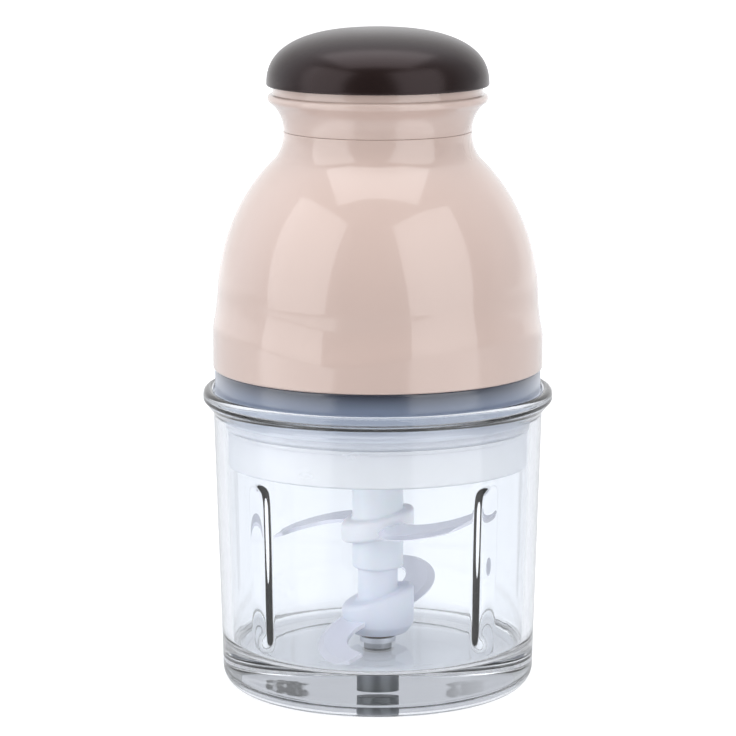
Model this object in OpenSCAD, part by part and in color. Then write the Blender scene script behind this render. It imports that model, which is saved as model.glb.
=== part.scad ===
// Electric mini chopper: a glass bowl with a blade unit, a frosted inner lid and a domed motor housing.
// Millimetres. The origin is the centre of the bowl's foot, +Z is up and the front faces -Y.

/* [Bowl] */
// Height to the top of the lip
bowl_h = 108.6; // [101:0.1:120]
// Outer radius just above the foot
bowl_foot_r = 56; // [52:0.1:58]
// Outer radius just below the lip
bowl_mouth_r = 58.8; // [57:0.1:62]
// Wall thickness of the glass
bowl_wall = 4; // [3:0.1:4.6]
// Thickness of the glass base
bowl_floor = 15.5; // [13:0.1:18]
// How far the lip stands out from the wall
lip_out = 3.7; // [2.5:0.1:5]
// Half the height of the rounded lip
lip_half = 2.9; // [2.2:0.1:3.6]
// Height of the slope under the lip
lip_flare = 2.4; // [1:0.1:4]
// Depth of the lid's seat below the top of the lip
seat_drop = 3.6; // [2.6:0.1:4.6]
// Rounding of the foot's outer edge
base_round = 7.5; // [5:0.1:9]
// Rounding where the inner wall meets the floor
floor_round = 4; // [2:0.1:6]
// Radius of the shallow hollow under the foot
punt_r = 40; // [25:0.5:44]
// Depth of the hollow under the foot
punt_depth = 0.8; // [0.4:0.1:1.5]
// Number of ribs inside the wall
rib_count = 4; // [3:1:6]
// Half the width of a rib where it meets the wall
rib_half = 5.8; // [4.5:0.1:7]
// How far a rib stands in from the wall
rib_h = 2.6; // [1.6:0.1:4]
// Height over which a rib runs out towards its upper end
rib_run = 9; // [6:0.5:13]
// Gap from the lid's skirt down to the upper end of a rib
rib_head = 0.6; // [0.5:0.1:9]
// Turn of the first rib about the axis
rib_turn = -47.6; // [-60:0.1:-30]

/* [Spindle pin] */
// Radius of the pin
pin_r = 4; // [3:0.05:4.5]
// Radius of the root set in the glass
pin_root_r = 5; // [4.6:0.05:6.5]
// Glass left under the root
pin_web = 1.2; // [0.8:0.1:5]
// Radius of the flange on the floor
pin_flange_r = 6.5; // [6:0.05:8.5]
// Thickness of the flange
pin_flange_t = 1.8; // [1.2:0.1:2.6]
// Height of the pin above the floor
pin_rise = 46; // [40:0.5:52]

/* [Blade unit] */
// Radius of the stem
stem_r = 7.2; // [6.8:0.05:8]
// Radius of the sleeve
sleeve_r = 9.2; // [8.8:0.05:9.8]
// Height of the sleeve's lower end above the floor
sleeve_rise = 27.3; // [25:0.1:29]
// Radius of the lower hub and of the upper collar
hub_r = 13.1; // [12.4:0.05:14]
// Height of the middle of the hub's slanted top above the floor
hub_top = 17.3; // [16:0.1:18.5]
// Gap from the floor to the hub
hub_gap = 3.4; // [3:0.1:4.4]
// Slant of the hub's top
hub_slant = 17; // [8:0.5:18]
// Thickness of the slanted collar
collar_t = 7.5; // [6:0.1:8.5]
// Thickness of a blade
blade_t = 1.4; // [1:0.05:2]
// Width of the ground bevel
blade_bevel = 2.4; // [1.5:0.1:3.2]
// Reach of the blades from the axis
blade_reach = 43; // [38:0.1:44]
// Distance of the upper sickle's middle from the axis
upper_off = 25.5; // [24:0.1:27]
// Radius of the upper sickle's cutting edge
upper_edge_r = 20; // [19:0.1:21]
// Distance of the upper sickle's notch from the axis
upper_notch_off = 25; // [24:0.1:26]
// Radius of the upper sickle's notch
upper_notch_r = 15.8; // [15:0.1:16.4]
// Distance of the lower sickle's middle from the axis
lower_off = 23.3; // [22:0.1:24.5]
// Radius of the lower sickle's cutting edge
lower_edge_r = 30.6; // [29.5:0.1:31.5]
// Distance of the lower sickle's notch from the axis
lower_notch_off = 25.8; // [25:0.1:27]
// Radius of the lower sickle's notch
lower_notch_r = 16; // [15:0.1:17]
// Height of the upper blade above the floor
upper_rise = 43.2; // [41:0.1:46]
// Tilt of the upper blade and its collar
upper_tilt = 12.2; // [8:0.1:16]
// Pitch of each upper wing about its own length
upper_pitch = 0.8; // [0:0.1:5]
// Height of the lower blade above the floor
lower_rise = 11.7; // [11.4:0.1:12.6]
// Tilt of the lower blade
lower_tilt = 15; // [8:0.1:15.5]
// Radius of the bush in the hub
bush_r = 5.6; // [5.3:0.05:6]
// Length of the bush in the hub
bush_h = 15; // [10:0.5:18]
// Corner radius of the driving hexagon
hex_r = 5.4; // [4.5:0.05:6]

/* [Lid] */
// Side clearance of the lid's flange in the lip
lid_fit = 0.35; // [0.3:0.05:0.6]
// Height of the flange above its seat
lid_flange_h = 11; // [9.5:0.1:13]
// Width of the lid's ledge under the housing, from the ring outwards
lid_ledge = 3.6; // [3:0.1:4]
// Gap between the lid's neck and the glass
lid_gap = 0.6; // [0.4:0.05:1]
// Depth of the skirt's edge below the seat
lid_depth = 22.9; // [20:0.1:26]
// How far the skirt stands in from the neck
skirt_step = 0.4; // [0.2:0.1:1.2]
// Wall thickness of the lid
lid_wall = 2.2; // [1.6:0.1:2.8]
// Height of the ring that centres the housing
lid_ring_h = 2.6; // [1.8:0.1:3]
// Height of the lid's web below the seat
web_drop = 5; // [4:0.1:5.6]
// Thickness of the web
web_t = 2.2; // [1.6:0.1:2.8]
// Clearance of the lid's hub round the sleeve
hub_fit = 0.5; // [0.3:0.05:0.8]
// Wall of the lid's hub
lid_hub_wall = 2.5; // [1.8:0.1:3.5]
// Height of the seal
seal_h = 2.8; // [2:0.1:3.4]
// Depth of the seal's middle below the seat
seal_drop = 8; // [6.5:0.1:9]
// Clearance of the seal in the glass
seal_fit = 0.02; // [0.01:0.01:0.1]

/* [Motor housing] */
// Radius of the dome's upright wall
dome_r = 57.3; // [56.4:0.1:58]
// Height of the dome's half ellipse
dome_h = 65.8; // [63.5:0.1:68]
// Wall thickness of the housing
shell_wall = 2.6; // [2:0.1:3]
// Radius of the waist
neck_r = 33.5; // [32.6:0.1:34.4]
// Height of the crease where the dome ends
crease_rise = 74.8; // [73.6:0.1:76]
// Radius of the crease
crease_r = 36.3; // [35:0.1:37.5]
// Height of the seam at the waist
neck_rise = 84.5; // [83.6:0.1:88]
// How far the raised skirt stands out from the dome
skirt_out = 1.6; // [1:0.05:2.6]
// Height of the wave's lowest point above the edge
wave_low = 9.6; // [7:0.1:11]
// Height of the wave from dip to crest
wave_h = 5.9; // [2:0.1:7]
// Number of waves round the skirt
wave_count = 3; // [2:1:6]
// Turn of the wave's first dip
wave_turn = -103; // [-180:1:180]
// Height of the sloped ledge over the skirt
ledge_h = 8; // [5:0.1:8.4]
// Height of the cord gland above the housing's edge
gland_rise = 31; // [28:0.5:40]
// Radius of the cord's hole
cord_r = 3.4; // [2.5:0.1:4]

/* [Collar and button] */
// Height of the collar from the seam to the top of its lip
collar_h = 13.1; // [12.4:0.1:15]
// How far the collar's lip lies inside the cap's edge
lip_inset = 0.35; // [0:0.05:1]
// Rounding of the collar's lip
lip_round = 1.6; // [1:0.1:2]
// Thickness of the cap's rim
cap_rim = 1.7; // [1.4:0.1:2.2]
// Clearance of the cap round the upstand
cap_fit = 0.5; // [0.3:0.05:0.8]
// Travel of the button
press_travel = 1.8; // [1:0.1:2]
// Radius of the cap's edge
cap_r = 39.4; // [39.3:0.05:40.5]
// Height of the cap
cap_h = 20.3; // [18.5:0.1:24]
// Thickness of the cap's crown
cap_wall = 2.2; // [1.6:0.1:3]
// Squareness of the cap's dome
cap_power = 2.5; // [2.2:0.05:3]
// Radius of the return spring
spring_r = 8; // [7:0.1:10]
// Thickness of the spring wire
wire_d = 1.3; // [0.8:0.1:1.6]
// Turns of the return spring
spring_turns = 5; // [3:1:6]

/* [Motor and gears] */
// Radius of the armature
armature_r = 15; // [13:0.1:15.5]
// Half width of the stator stack
stack_x = 24; // [23:0.1:25]
// Half depth of the stator stack
stack_y = 20.5; // [19.5:0.1:21.5]
// Radius of the motor shaft
shaft_r = 3; // [2.4:0.05:3.2]
// Radius of the commutator
comm_r = 8.5; // [7:0.1:9]
// Height of the commutator
comm_h = 8; // [6:0.1:9]
// Radius of the cooling fan
fan_r = 20; // [16:0.1:20.5]
// Gear module
gear_m = 0.8; // [0.7:0.01:0.85]
// Teeth on the sun gear and on each planet
gear_z = 18; // [18:6:18]
// Height of the gears
gear_h = 7.5; // [6:0.1:7.8]
// Backlash of the gears
gear_slack = 0.12; // [0.08:0.01:0.2]
// Radius of the planet pins
planet_pin_r = 2.5; // [1.8:0.05:3]
// Radius of the output shaft
out_r = 5; // [4.2:0.05:5.4]
// Radial clearance of a running fit
run_fit = 0.05; // [0.03:0.01:0.08]

/* [Hidden] */
$fn = 72;
eps = 0.02;
// Bowl and lid
lip_mid = bowl_h - lip_half;
lip_low = bowl_h - 2 * lip_half - lip_flare;
lip_in_r = bowl_mouth_r + lip_out - bowl_wall;
seat_z = bowl_h - seat_drop;
mouth_in_r = wall_r(seat_z) - bowl_wall;
lid_flange_r = lip_in_r - lid_fit;
seal_z = seat_z - seal_drop;
neck_low = seal_z - seal_h / 2 - 1.4;
lid_neck_r = glass_in(neck_low) - lid_gap;
lid_skirt_r = lid_neck_r - skirt_step;
skirt_low = seat_z - lid_depth;
seal_in_r = lid_neck_r - 1.5;
seal_out_r = glass_in(seal_z - seal_h / 2) - seal_fit;
web_z = seat_z - web_drop;
lid_bore_r = sleeve_r + hub_fit;
lid_hub_r = lid_bore_r + lid_hub_wall;
rib_top = skirt_low - rib_head;
// Blade unit
pin_root = bowl_floor - punt_depth - pin_web;
pin_top = bowl_floor + pin_rise;
shoulder_z = bowl_floor + pin_flange_t;
hub_low = bowl_floor + hub_gap;
upper_z = bowl_floor + upper_rise;
lower_z = bowl_floor + lower_rise;
sleeve_low = bowl_floor + sleeve_rise;
stem_top = seat_z - 5.4;
hex_top = stem_top + 6.2;
// Housing levels
head_z = seat_z + lid_flange_h;
shell_in_r = dome_r - shell_wall;
shell_in_h = dome_h - shell_wall;
ring_fit_r = shell_in_r - 0.35;
plate_z = head_z + lid_ring_h + 0.6;
plate_t = 2.6;
plate_top = plate_z + plate_t;
plate_r = shell_in_r - 0.3;
crease_z = head_z + crease_rise;
dome_z = crease_z - dome_h * sqrt(1 - pow(crease_r / dome_r, 2));
skirt_r = dome_r + skirt_out;
seam_z = head_z + neck_rise;
gland_z = head_z + gland_rise;
gland_r = cord_r + 3.6;
gland_in = shell_in_r * sqrt(1 - pow((gland_z + gland_r - dome_z) / shell_in_h, 2)) - 0.3;
// Gear levels
carrier_z = plate_top + 0.5;
gear_low = plate_top + 3;
ring_top = plate_top + gear_h + 3.5;
cover_t = 2.2;
pitch_r = gear_m * gear_z / 2;
orbit_r = 2 * pitch_r;
ring_r = 3 * pitch_r + 5.9;
socket_low = stem_top + 0.9;
socket_r = lid_bore_r - 0.4;
socket_top = plate_z - 7.7;
// Button levels
collar_lip_r = cap_r - lip_inset;
cap_bore_r = cap_r - cap_rim;
upstand_r = cap_bore_r - cap_fit;
spigot_r = neck_r - shell_wall - 0.15;
spigot_t = 2.2;
lip_top = seam_z + collar_h;
deck_z = seam_z + 3.5;
deck_t = 2.5;
deck_top = deck_z + deck_t;
post_low = deck_z - 3;
upstand_top = lip_top + press_travel + 2;
cap_low = lip_top + press_travel + 1;
cap_top = cap_low + cap_h;
cap_bore_top = upstand_top + press_travel + 0.7;
seat_plate_t = 2.4;
leg_r = spigot_r - spigot_t - 5.05;
// Motor levels
bracket_z = ring_top + cover_t + 1.2;
bracket_t = 2.2;
mount_h = 3.6;
post_r = 38;
post_top = bracket_z - mount_h;
fan_z = bracket_z + 4.6;
fan_h = 5;
stack_z = bracket_z + 14.4;
switch_h = 5.9;
switch_z = post_low - press_travel - 0.4 - switch_h;
cradle_z = switch_z - 1.5;
shaft_top = cradle_z - 1;
frame_t = 2.6;
frame_z = shaft_top - 0.6 - 1.6 - frame_t;
comm_z = frame_z - 1.6 - comm_h;
stack_top = comm_z - 5.4;
stack_h = stack_top - stack_z;
coil_over = 3.6;
winding_over = 4.4;
bolt_x = stack_x - 4.5;
bolt_y = stack_y - 4;
bolt_r = 1.6;
column_r = 3.2;
shield_r = norm([bolt_x, bolt_y]) + column_r + 0.8;
screw_inset = 6.7;
screw_ring = shell_in_r - screw_inset;

// A point at radius r and angle a
function polar(r, a) = [r * cos(a), r * sin(a)];
// Points on an ellipse about [x, y], from angle a0 to a1
function oval(x, y, a, b, a0, a1, n) =
    [for (i = [0:n]) [x + a * cos(a0 + (a1 - a0) * i / n), y + b * sin(a0 + (a1 - a0) * i / n)]];
// Points on an arc that leaves [r0, z0] upright and ends at [r1, z1]
function flare(r0, z0, r1, z1, n) =
    let (dr = r1 - r0, dz = z1 - z0, rho = (dr * dr + dz * dz) / (2 * dr), end = asin(dz / rho))
    [for (i = [0:n]) [r0 + rho * (1 - cos(end * i / n)), z0 + rho * sin(end * i / n)]];
// A list in the other order
function reversed(v) = [for (i = [len(v) - 1:-1:0]) v[i]];
// Outer radius of the bowl's wall at height z
function wall_r(z) = bowl_foot_r + (bowl_mouth_r - bowl_foot_r) * (z - base_round) / (lip_low - base_round);
// Inner radius of the bowl's wall at height z
function glass_in(z) =
    let (z0 = bowl_floor + floor_round, r0 = wall_r(bowl_floor) - bowl_wall)
    r0 + (mouth_in_r - r0) * (z - z0) / (seat_z - z0);
// Radius of the dome at height z
function dome_at(z) = dome_r * sqrt(1 - pow((z - dome_z) / dome_h, 2));
// Radius of the cap's dome at the fraction u of its height
function cap_at(u) = cap_r * pow(1 - pow(u, cap_power), 1 / cap_power);
// Height of the skirt's wavy edge at angle a
function wave_z(a) =
    let (s = pow(sin((a - wave_turn) * wave_count / 2), 2))
    head_z + wave_low + wave_h * (pow(s + 0.015, 0.4) - pow(0.015, 0.4)) / (1 - pow(0.015, 0.4));
// Angle by which an involute has turned at pressure angle a
function inv(a) = tan(a) * 180 / PI - a;
// Half angle of a gear tooth at radius r
function half_tooth(z, rp, r, slack) =
    90 / z - slack / (2 * rp) * 180 / PI + inv(20) - inv(acos(min(1, rp * cos(20) / r)));
// Outline of a gear with z teeth, the first tooth at angle turn
function gear_outline(z, m, add, ded, slack, turn) =
    let (rp = z * m / 2, tip = rp + add * m, root = rp - ded * m, low = max(root, rp * cos(20)))
    let (rs = [root, low, low + (tip - low) * 0.35, low + (tip - low) * 0.7, tip])
    [for (k = [0:z - 1]) for (i = [0:9])
        let (j = i < 5 ? i : 9 - i, w = half_tooth(z, rp, max(rs[j], low), slack))
        polar(rs[j], turn + k * 360 / z + (i < 5 ? -w : w))];

// A ring about the axis
module ring(r_in, r_out, z0, z1) {
    rotate_extrude()
        polygon([[r_in, z0], [r_out, z0], [r_out, z1], [r_in, z1]]);
}

// A socket head screw pointing up, its head under z
module screw_up(z, r, length, head_r, head_h) {
    translate([0, 0, z - eps])
        cylinder(r = r, h = length + eps);
    translate([0, 0, z - head_h])
        cylinder(r = head_r, h = head_h);
}

// The four corners of the motor's bolts
module at_bolts() {
    for (x = [-1, 1])
        for (y = [-1, 1])
            translate([x * bolt_x, y * bolt_y, 0])
                children();
}

// Four places round the axis at radius r
module at_four(r, turn) {
    for (k = [0:3])
        rotate([0, 0, turn + 90 * k])
            translate([r, 0, 0])
                children();
}

// Everything above a plane through height z, tilted so that it rises towards +X
module above(z, tilt) {
    translate([0, 0, z])
        rotate([0, -tilt, 0])
            translate([-2 * hub_r, -2 * hub_r, 0])
                cube([4 * hub_r, 4 * hub_r, hub_top + 2 * hub_r]);
}

// One rib inside the wall: a round bar that leans with the wall and runs out towards its upper end
module wall_rib() {
    bar_r = (rib_half * rib_half + rib_h * rib_h) / (2 * rib_h);
    low_in = glass_in(bowl_floor);
    top_in = glass_in(rib_top);
    bury = 0.4 * bowl_wall;
    intersection() {
        translate([low_in - rib_h + bar_r, 0, bowl_floor])
            rotate([0, atan2(top_in - low_in, rib_top - bowl_floor), 0])
                translate([0, 0, -2])
                    cylinder(r = bar_r, h = rib_top - bowl_floor + 4);
        rotate([90, 0, 0])
            linear_extrude(height = 3 * bar_r, center = true)
                polygon([[top_in - 2 * rib_h, bowl_floor - 1], [low_in + bury, bowl_floor - 1],
                    [top_in + bury, rib_top + 1], [top_in, rib_top],
                    [top_in - 2 * rib_h, rib_top - 2 * rib_run]]);
    }
}

module glass_bowl() {
    foot_in = wall_r(bowl_floor) - bowl_wall;
    color("LightCyan", 0.35)
        difference() {
            union() {
                difference() {
                    rotate_extrude()
                        polygon(concat([[0, punt_depth], [punt_r, punt_depth], [punt_r + 1.5, 0]],
                            oval(bowl_foot_r - base_round, base_round, base_round, base_round, -90, 0, 8),
                            [[bowl_mouth_r, lip_low]],
                            oval(bowl_mouth_r, lip_mid, lip_out, lip_half, -35, 90, 12), [[0, bowl_h]]));
                    rotate_extrude()
                        polygon(concat([[0, bowl_floor]],
                            oval(foot_in - floor_round, bowl_floor + floor_round,
                                floor_round, floor_round, -90, 0, 6),
                            [[mouth_in_r, seat_z], [lip_in_r, seat_z], [lip_in_r, bowl_h - 1.3],
                                [lip_in_r + 0.8, bowl_h + 0.2], [0, bowl_h + 0.2]]));
                }
                for (k = [0:rib_count - 1])
                    rotate([0, 0, rib_turn + k * 360 / rib_count])
                        wall_rib();
            }
            translate([0, 0, bowl_floor - pin_root])
                cylinder(r = pin_root_r, h = pin_root + 1);
        }
}

module spindle_pin() {
    color("Silver")
        rotate_extrude()
            polygon([[0, bowl_floor - pin_root], [pin_root_r, bowl_floor - pin_root],
                [pin_root_r, bowl_floor],
                [pin_flange_r, bowl_floor], [pin_flange_r, shoulder_z], [pin_r, shoulder_z],
                [pin_r, pin_top - 1.2], [pin_r - 1.2, pin_top], [0, pin_top]]);
}

// A blade in the XY plane: a hub ring and two pitched sickle wings, each disc a less disc b
module blade(a, ar, b, br, hole_r, from, to, pitch) {
    difference() {
        union() {
            cylinder(r = hub_r - 1, h = blade_t, center = true);
            for (k = [0, 180])
                rotate([pitch, 0, k])
                    intersection() {
                        difference() {
                            union() {
                                translate([a[0], a[1], -blade_t / 2])
                                    cylinder(r = ar, h = 0.35);
                                translate([a[0], a[1], 0.35 - blade_t / 2 - eps])
                                    cylinder(r1 = ar, r2 = ar - blade_bevel, h = blade_t - 0.35 + eps);
                            }
                            translate([b[0], b[1], -blade_t])
                                cylinder(r = br, h = 2 * blade_t);
                        }
                        translate([a[0], a[1], -blade_t])
                            linear_extrude(height = 2 * blade_t)
                                polygon(concat([[0, 0]],
                                    [for (i = [0:12]) polar(1.4 * ar, from + (to - from) * i / 12)]));
                        cylinder(r = blade_reach, h = 3 * blade_t, center = true);
                    }
        }
        cylinder(r = hole_r, h = 4 * blade_t, center = true);
    }
}

module place_upper() {
    translate([0, 0, upper_z])
        rotate([0, -upper_tilt, 0])
            children();
}

module place_lower() {
    translate([0, 0, lower_z])
        rotate([0, 0, 45])
            rotate([0, -lower_tilt, 0])
                rotate([0, 0, -45])
                    children();
}

module upper_blade() {
    color("LightSteelBlue")
        place_upper()
            blade(polar(upper_off, -38.5), upper_edge_r, polar(upper_notch_off, -13.9), upper_notch_r,
                sleeve_r / cos(upper_tilt) + 0.1, 120, 358, upper_pitch);
}

module lower_blade() {
    color("LightSteelBlue")
        place_lower()
            blade(polar(lower_off, -68.1), lower_edge_r, polar(lower_notch_off, -79.4), lower_notch_r,
                stem_r / cos(lower_tilt) + 0.1, 100, 226, 0);
}

module blade_stem() {
    color("WhiteSmoke")
        difference() {
            union() {
                translate([0, 0, hub_low])
                    cylinder(r = stem_r, h = stem_top - hub_low);
                difference() {
                    union() {
                        translate([0, 0, hub_low])
                            cylinder(r1 = hub_r - 3, r2 = hub_r, h = 2.4);
                        translate([0, 0, hub_low + 2.4 - eps])
                            cylinder(r = hub_r, h = hub_top + 4);
                    }
                    above(bowl_floor + hub_top, hub_slant);
                }
            }
            translate([0, 0, shoulder_z - 1])
                cylinder(r = bush_r, h = bush_h + 1);
            translate([0, 0, shoulder_z])
                cylinder(r = pin_r + 0.6, h = pin_top - shoulder_z + 1);
            lower_blade();
            translate([0, 0, stem_top - 8])
                cylinder(r = hex_r, h = 9, $fn = 6);
        }
}

module blade_sleeve() {
    color("White")
        difference() {
            union() {
                translate([0, 0, sleeve_low])
                    cylinder(r1 = sleeve_r - 0.8, r2 = sleeve_r, h = 0.8);
                translate([0, 0, sleeve_low + 0.8 - eps])
                    cylinder(r = sleeve_r, h = stem_top - sleeve_low - 0.8 + eps);
                place_upper()
                    cylinder(r = hub_r, h = collar_t, center = true);
            }
            translate([0, 0, sleeve_low - sleeve_r])
                cylinder(r = stem_r + run_fit, h = stem_top);
            upper_blade();
        }
}

module stem_bush() {
    color("Peru")
        ring(pin_r + run_fit, bush_r, shoulder_z, shoulder_z + bush_h);
}

module drive_hex() {
    color("Gainsboro")
        translate([0, 0, stem_top - 8])
            cylinder(r = hex_r, h = hex_top - stem_top + 8, $fn = 6);
}

module bowl_lid() {
    half = seal_h / 2;
    in_r = lid_skirt_r - lid_wall;
    neck_in_r = lid_neck_r - lid_wall;
    ring_in_r = ring_fit_r - lid_wall;
    ledge_r = ring_fit_r + lid_ledge;
    ledge_z = bowl_h + 0.4;
    step_z = ledge_z + (ring_in_r > neck_in_r ? lid_wall : -lid_wall);
    color("LightSteelBlue", 0.6)
        rotate_extrude()
            polygon([[lid_skirt_r - 0.6, skirt_low], [lid_skirt_r, skirt_low + 0.6],
                [lid_skirt_r, neck_low], [lid_neck_r, neck_low], [lid_neck_r, seal_z - half],
                [seal_in_r, seal_z - half], [seal_in_r, seal_z + half], [lid_neck_r, seal_z + half],
                [lid_neck_r, seat_z], [lid_flange_r, seat_z], [lid_flange_r, ledge_z], [ledge_r, ledge_z],
                [ledge_r, head_z - 0.5], [ledge_r - 0.5, head_z], [ring_fit_r, head_z],
                [ring_fit_r, head_z + lid_ring_h], [ring_in_r, head_z + lid_ring_h], [ring_in_r, step_z],
                [neck_in_r, step_z], [neck_in_r, web_z + web_t], [lid_hub_r, web_z + web_t],
                [lid_hub_r, web_z + 4], [lid_bore_r, web_z + 4],
                [lid_bore_r, web_z - 10], [lid_hub_r, web_z - 10], [lid_hub_r, web_z], [in_r, web_z],
                [in_r, skirt_low]]);
}

module lid_seal() {
    half = seal_h / 2;
    color("White")
        rotate_extrude()
            polygon([[seal_in_r, seal_z - half], [seal_out_r - 0.9, seal_z - half],
                [seal_out_r, seal_z - half * 0.3], [seal_out_r, seal_z + half * 0.3],
                [seal_out_r - 0.9, seal_z + half], [seal_in_r, seal_z + half]]);
}

// The raised skirt: a ring whose upper ledge follows the wave
module wave_band() {
    n = 120;
    low = [[skirt_r - 0.6, 0], [skirt_r - 0.15, 0.5], [skirt_r, 1.6]];
    step = skirt_r - dome_r + 0.4;
    high = [[skirt_r, -0.6], [skirt_r - 0.12, 0], [skirt_r - step * 0.62, ledge_h * 0.42],
        [dome_r - 0.4, ledge_h], [dome_r - 1.2, ledge_h]];
    rows = len(low) + len(high) + 1;
    pts = [for (k = [0:n - 1])
        let (a = 360 * k / n)
        each concat([for (p = low) [p[0] * cos(a), p[0] * sin(a), head_z + p[1]]],
            [for (p = high) [p[0] * cos(a), p[0] * sin(a), wave_z(a) + p[1]]],
            [[(dome_r - 1.2) * cos(a), (dome_r - 1.2) * sin(a), head_z]])];
    faces = [for (k = [0:n - 1]) for (j = [0:rows - 1])
        let (k2 = (k + 1) % n, j2 = (j + 1) % rows)
        each [[k * rows + j, k * rows + j2, k2 * rows + j], [k * rows + j2, k2 * rows + j2, k2 * rows + j]]];
    polyhedron(points = pts, faces = faces);
}

module motor_shell() {
    n = 18;
    in_end = asin((crease_z - shell_wall - dome_z) / shell_in_h);
    bore_r = neck_r - shell_wall;
    bore_z = crease_z + 0.5 * shell_wall;
    color("AntiqueWhite")
        difference() {
            union() {
                difference() {
                    union() {
                        rotate_extrude()
                            polygon(concat([[0, head_z], [dome_r, head_z]],
                                oval(0, dome_z, dome_r, dome_h, 0, asin((crease_z - dome_z) / dome_h), n),
                                reversed(flare(neck_r, seam_z - 1.5, crease_r, crease_z, 6)),
                                [[neck_r, seam_z], [0, seam_z]]));
                        wave_band();
                    }
                    rotate_extrude()
                        polygon(concat([[0, head_z - 1], [shell_in_r, head_z - 1]],
                            oval(0, dome_z, shell_in_r, shell_in_h, 0, in_end, n),
                            [[bore_r, bore_z], [bore_r, seam_z + 1], [0, seam_z + 1]]));
                }
                at_four(screw_ring, 45)
                    translate([0, 0, plate_top]) {
                        cylinder(r = 3.4, h = 13);
                        translate([0, -1.2, 0])
                            cube([dome_r - 1 - screw_ring, 2.4, 12]);
                    }
            }
            at_four(screw_ring, 45)
                translate([0, 0, plate_top - 1])
                    cylinder(r = 1.3, h = 11);
            translate([0, 40, gland_z])
                rotate([-90, 0, 0])
                    cylinder(r = cord_r + 2, h = 30);
        }
}

module cord_gland() {
    color("DimGray")
        translate([0, 0, gland_z])
            rotate([-90, 0, 0])
                difference() {
                    union() {
                        translate([0, 0, gland_in - 3])
                            cylinder(r = gland_r, h = 3);
                        translate([0, 0, gland_in - 1])
                            cylinder(r = cord_r + 1.8, h = dome_r - gland_in + 2);
                        translate([0, 0, dome_r + 0.05])
                            cylinder(r = cord_r + 4, h = 2.4);
                    }
                    translate([0, 0, gland_in - 5])
                        cylinder(r = cord_r, h = dome_r - gland_in + 15);
                }
}

module base_plate() {
    color("Gray")
        difference() {
            union() {
                translate([0, 0, plate_z])
                    cylinder(r = plate_r, h = plate_t);
                translate([0, 0, plate_z - 7])
                    cylinder(r = out_r + 6, h = 7 + eps);
                at_four(post_r, 0)
                    translate([0, 0, plate_top - eps])
                        cylinder(r = 3.6, h = post_top - plate_top + eps);
            }
            translate([0, 0, plate_z - 8])
                cylinder(r = out_r + 2.5, h = 20);
            at_four(screw_ring, 45)
                translate([0, 0, plate_z - 1])
                    cylinder(r = 1.6, h = plate_t + 2);
            at_four(screw_ring, 45)
                translate([0, 0, plate_z - 1])
                    cylinder(r = 3.1, h = 2.4);
            at_four(post_r, 0)
                translate([0, 0, post_top - 8])
                    cylinder(r = 1.25, h = 9);
        }
}

module base_screws() {
    color("Silver")
        at_four(screw_ring, 45)
            screw_up(plate_z + 1.4, 1.3, 10.2, 2.8, 1.4);
}

module ring_gear() {
    color("Khaki")
        difference() {
            translate([0, 0, plate_top])
                cylinder(r = ring_r, h = ring_top - plate_top);
            translate([0, 0, plate_top - 1])
                linear_extrude(height = ring_top - plate_top + 2)
                    polygon(gear_outline(3 * gear_z, gear_m, 1.25, 1, -gear_slack, 90 + 60 / gear_z));
        }
}

module gear_cover() {
    color("Gray")
        ring(pitch_r + gear_m + 1, ring_r, ring_top, ring_top + cover_t);
}

module output_bush() {
    color("Peru")
        ring(out_r + run_fit, out_r + 2.5, plate_z - 6.4, carrier_z);
}

module planet_carrier() {
    color("SlateGray")
        difference() {
            union() {
                translate([0, 0, carrier_z])
                    cylinder(r = orbit_r + planet_pin_r + 1.8, h = 2);
                translate([0, 0, socket_low + 6.3])
                    cylinder(r = out_r, h = carrier_z - socket_low - 6.3 + eps);
            }
            for (k = [0:2])
                rotate([0, 0, 90 + 120 * k])
                    translate([orbit_r, 0, carrier_z - 1])
                        cylinder(r = planet_pin_r, h = 4);
        }
}

module planet_pins() {
    color("Silver")
        for (k = [0:2])
            rotate([0, 0, 90 + 120 * k])
                translate([orbit_r, 0, carrier_z])
                    cylinder(r = planet_pin_r, h = gear_low + gear_h + 0.3 - carrier_z);
}

// One planet, with a tooth gap facing the sun
module planet(k) {
    rotate([0, 0, 90 + 120 * k])
        translate([orbit_r, 0, gear_low])
            difference() {
                linear_extrude(height = gear_h)
                    polygon(gear_outline(gear_z, gear_m, 1, 1.25, gear_slack, 180 / gear_z));
                translate([0, 0, -1])
                    cylinder(r = planet_pin_r + run_fit, h = gear_h + 2);
            }
}

module planet_gear_1() {
    color("Ivory")
        planet(0);
}

module planet_gear_2() {
    color("Ivory")
        planet(1);
}

module planet_gear_3() {
    color("Ivory")
        planet(2);
}

module drive_socket() {
    color("WhiteSmoke")
        difference() {
            translate([0, 0, socket_low])
                cylinder(r = socket_r, h = socket_top - socket_low);
            translate([0, 0, socket_low - 1])
                cylinder(r = hex_r + 0.35, h = 7.3, $fn = 6);
            translate([0, 0, socket_low + 6.3])
                cylinder(r = out_r, h = 20);
        }
}

// A cross-shaped plate with four arms
module arms(reach, width, z, t) {
    for (k = [0, 90])
        rotate([0, 0, k])
            translate([-reach, -width / 2, z])
                cube([2 * reach, width, t]);
}

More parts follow.
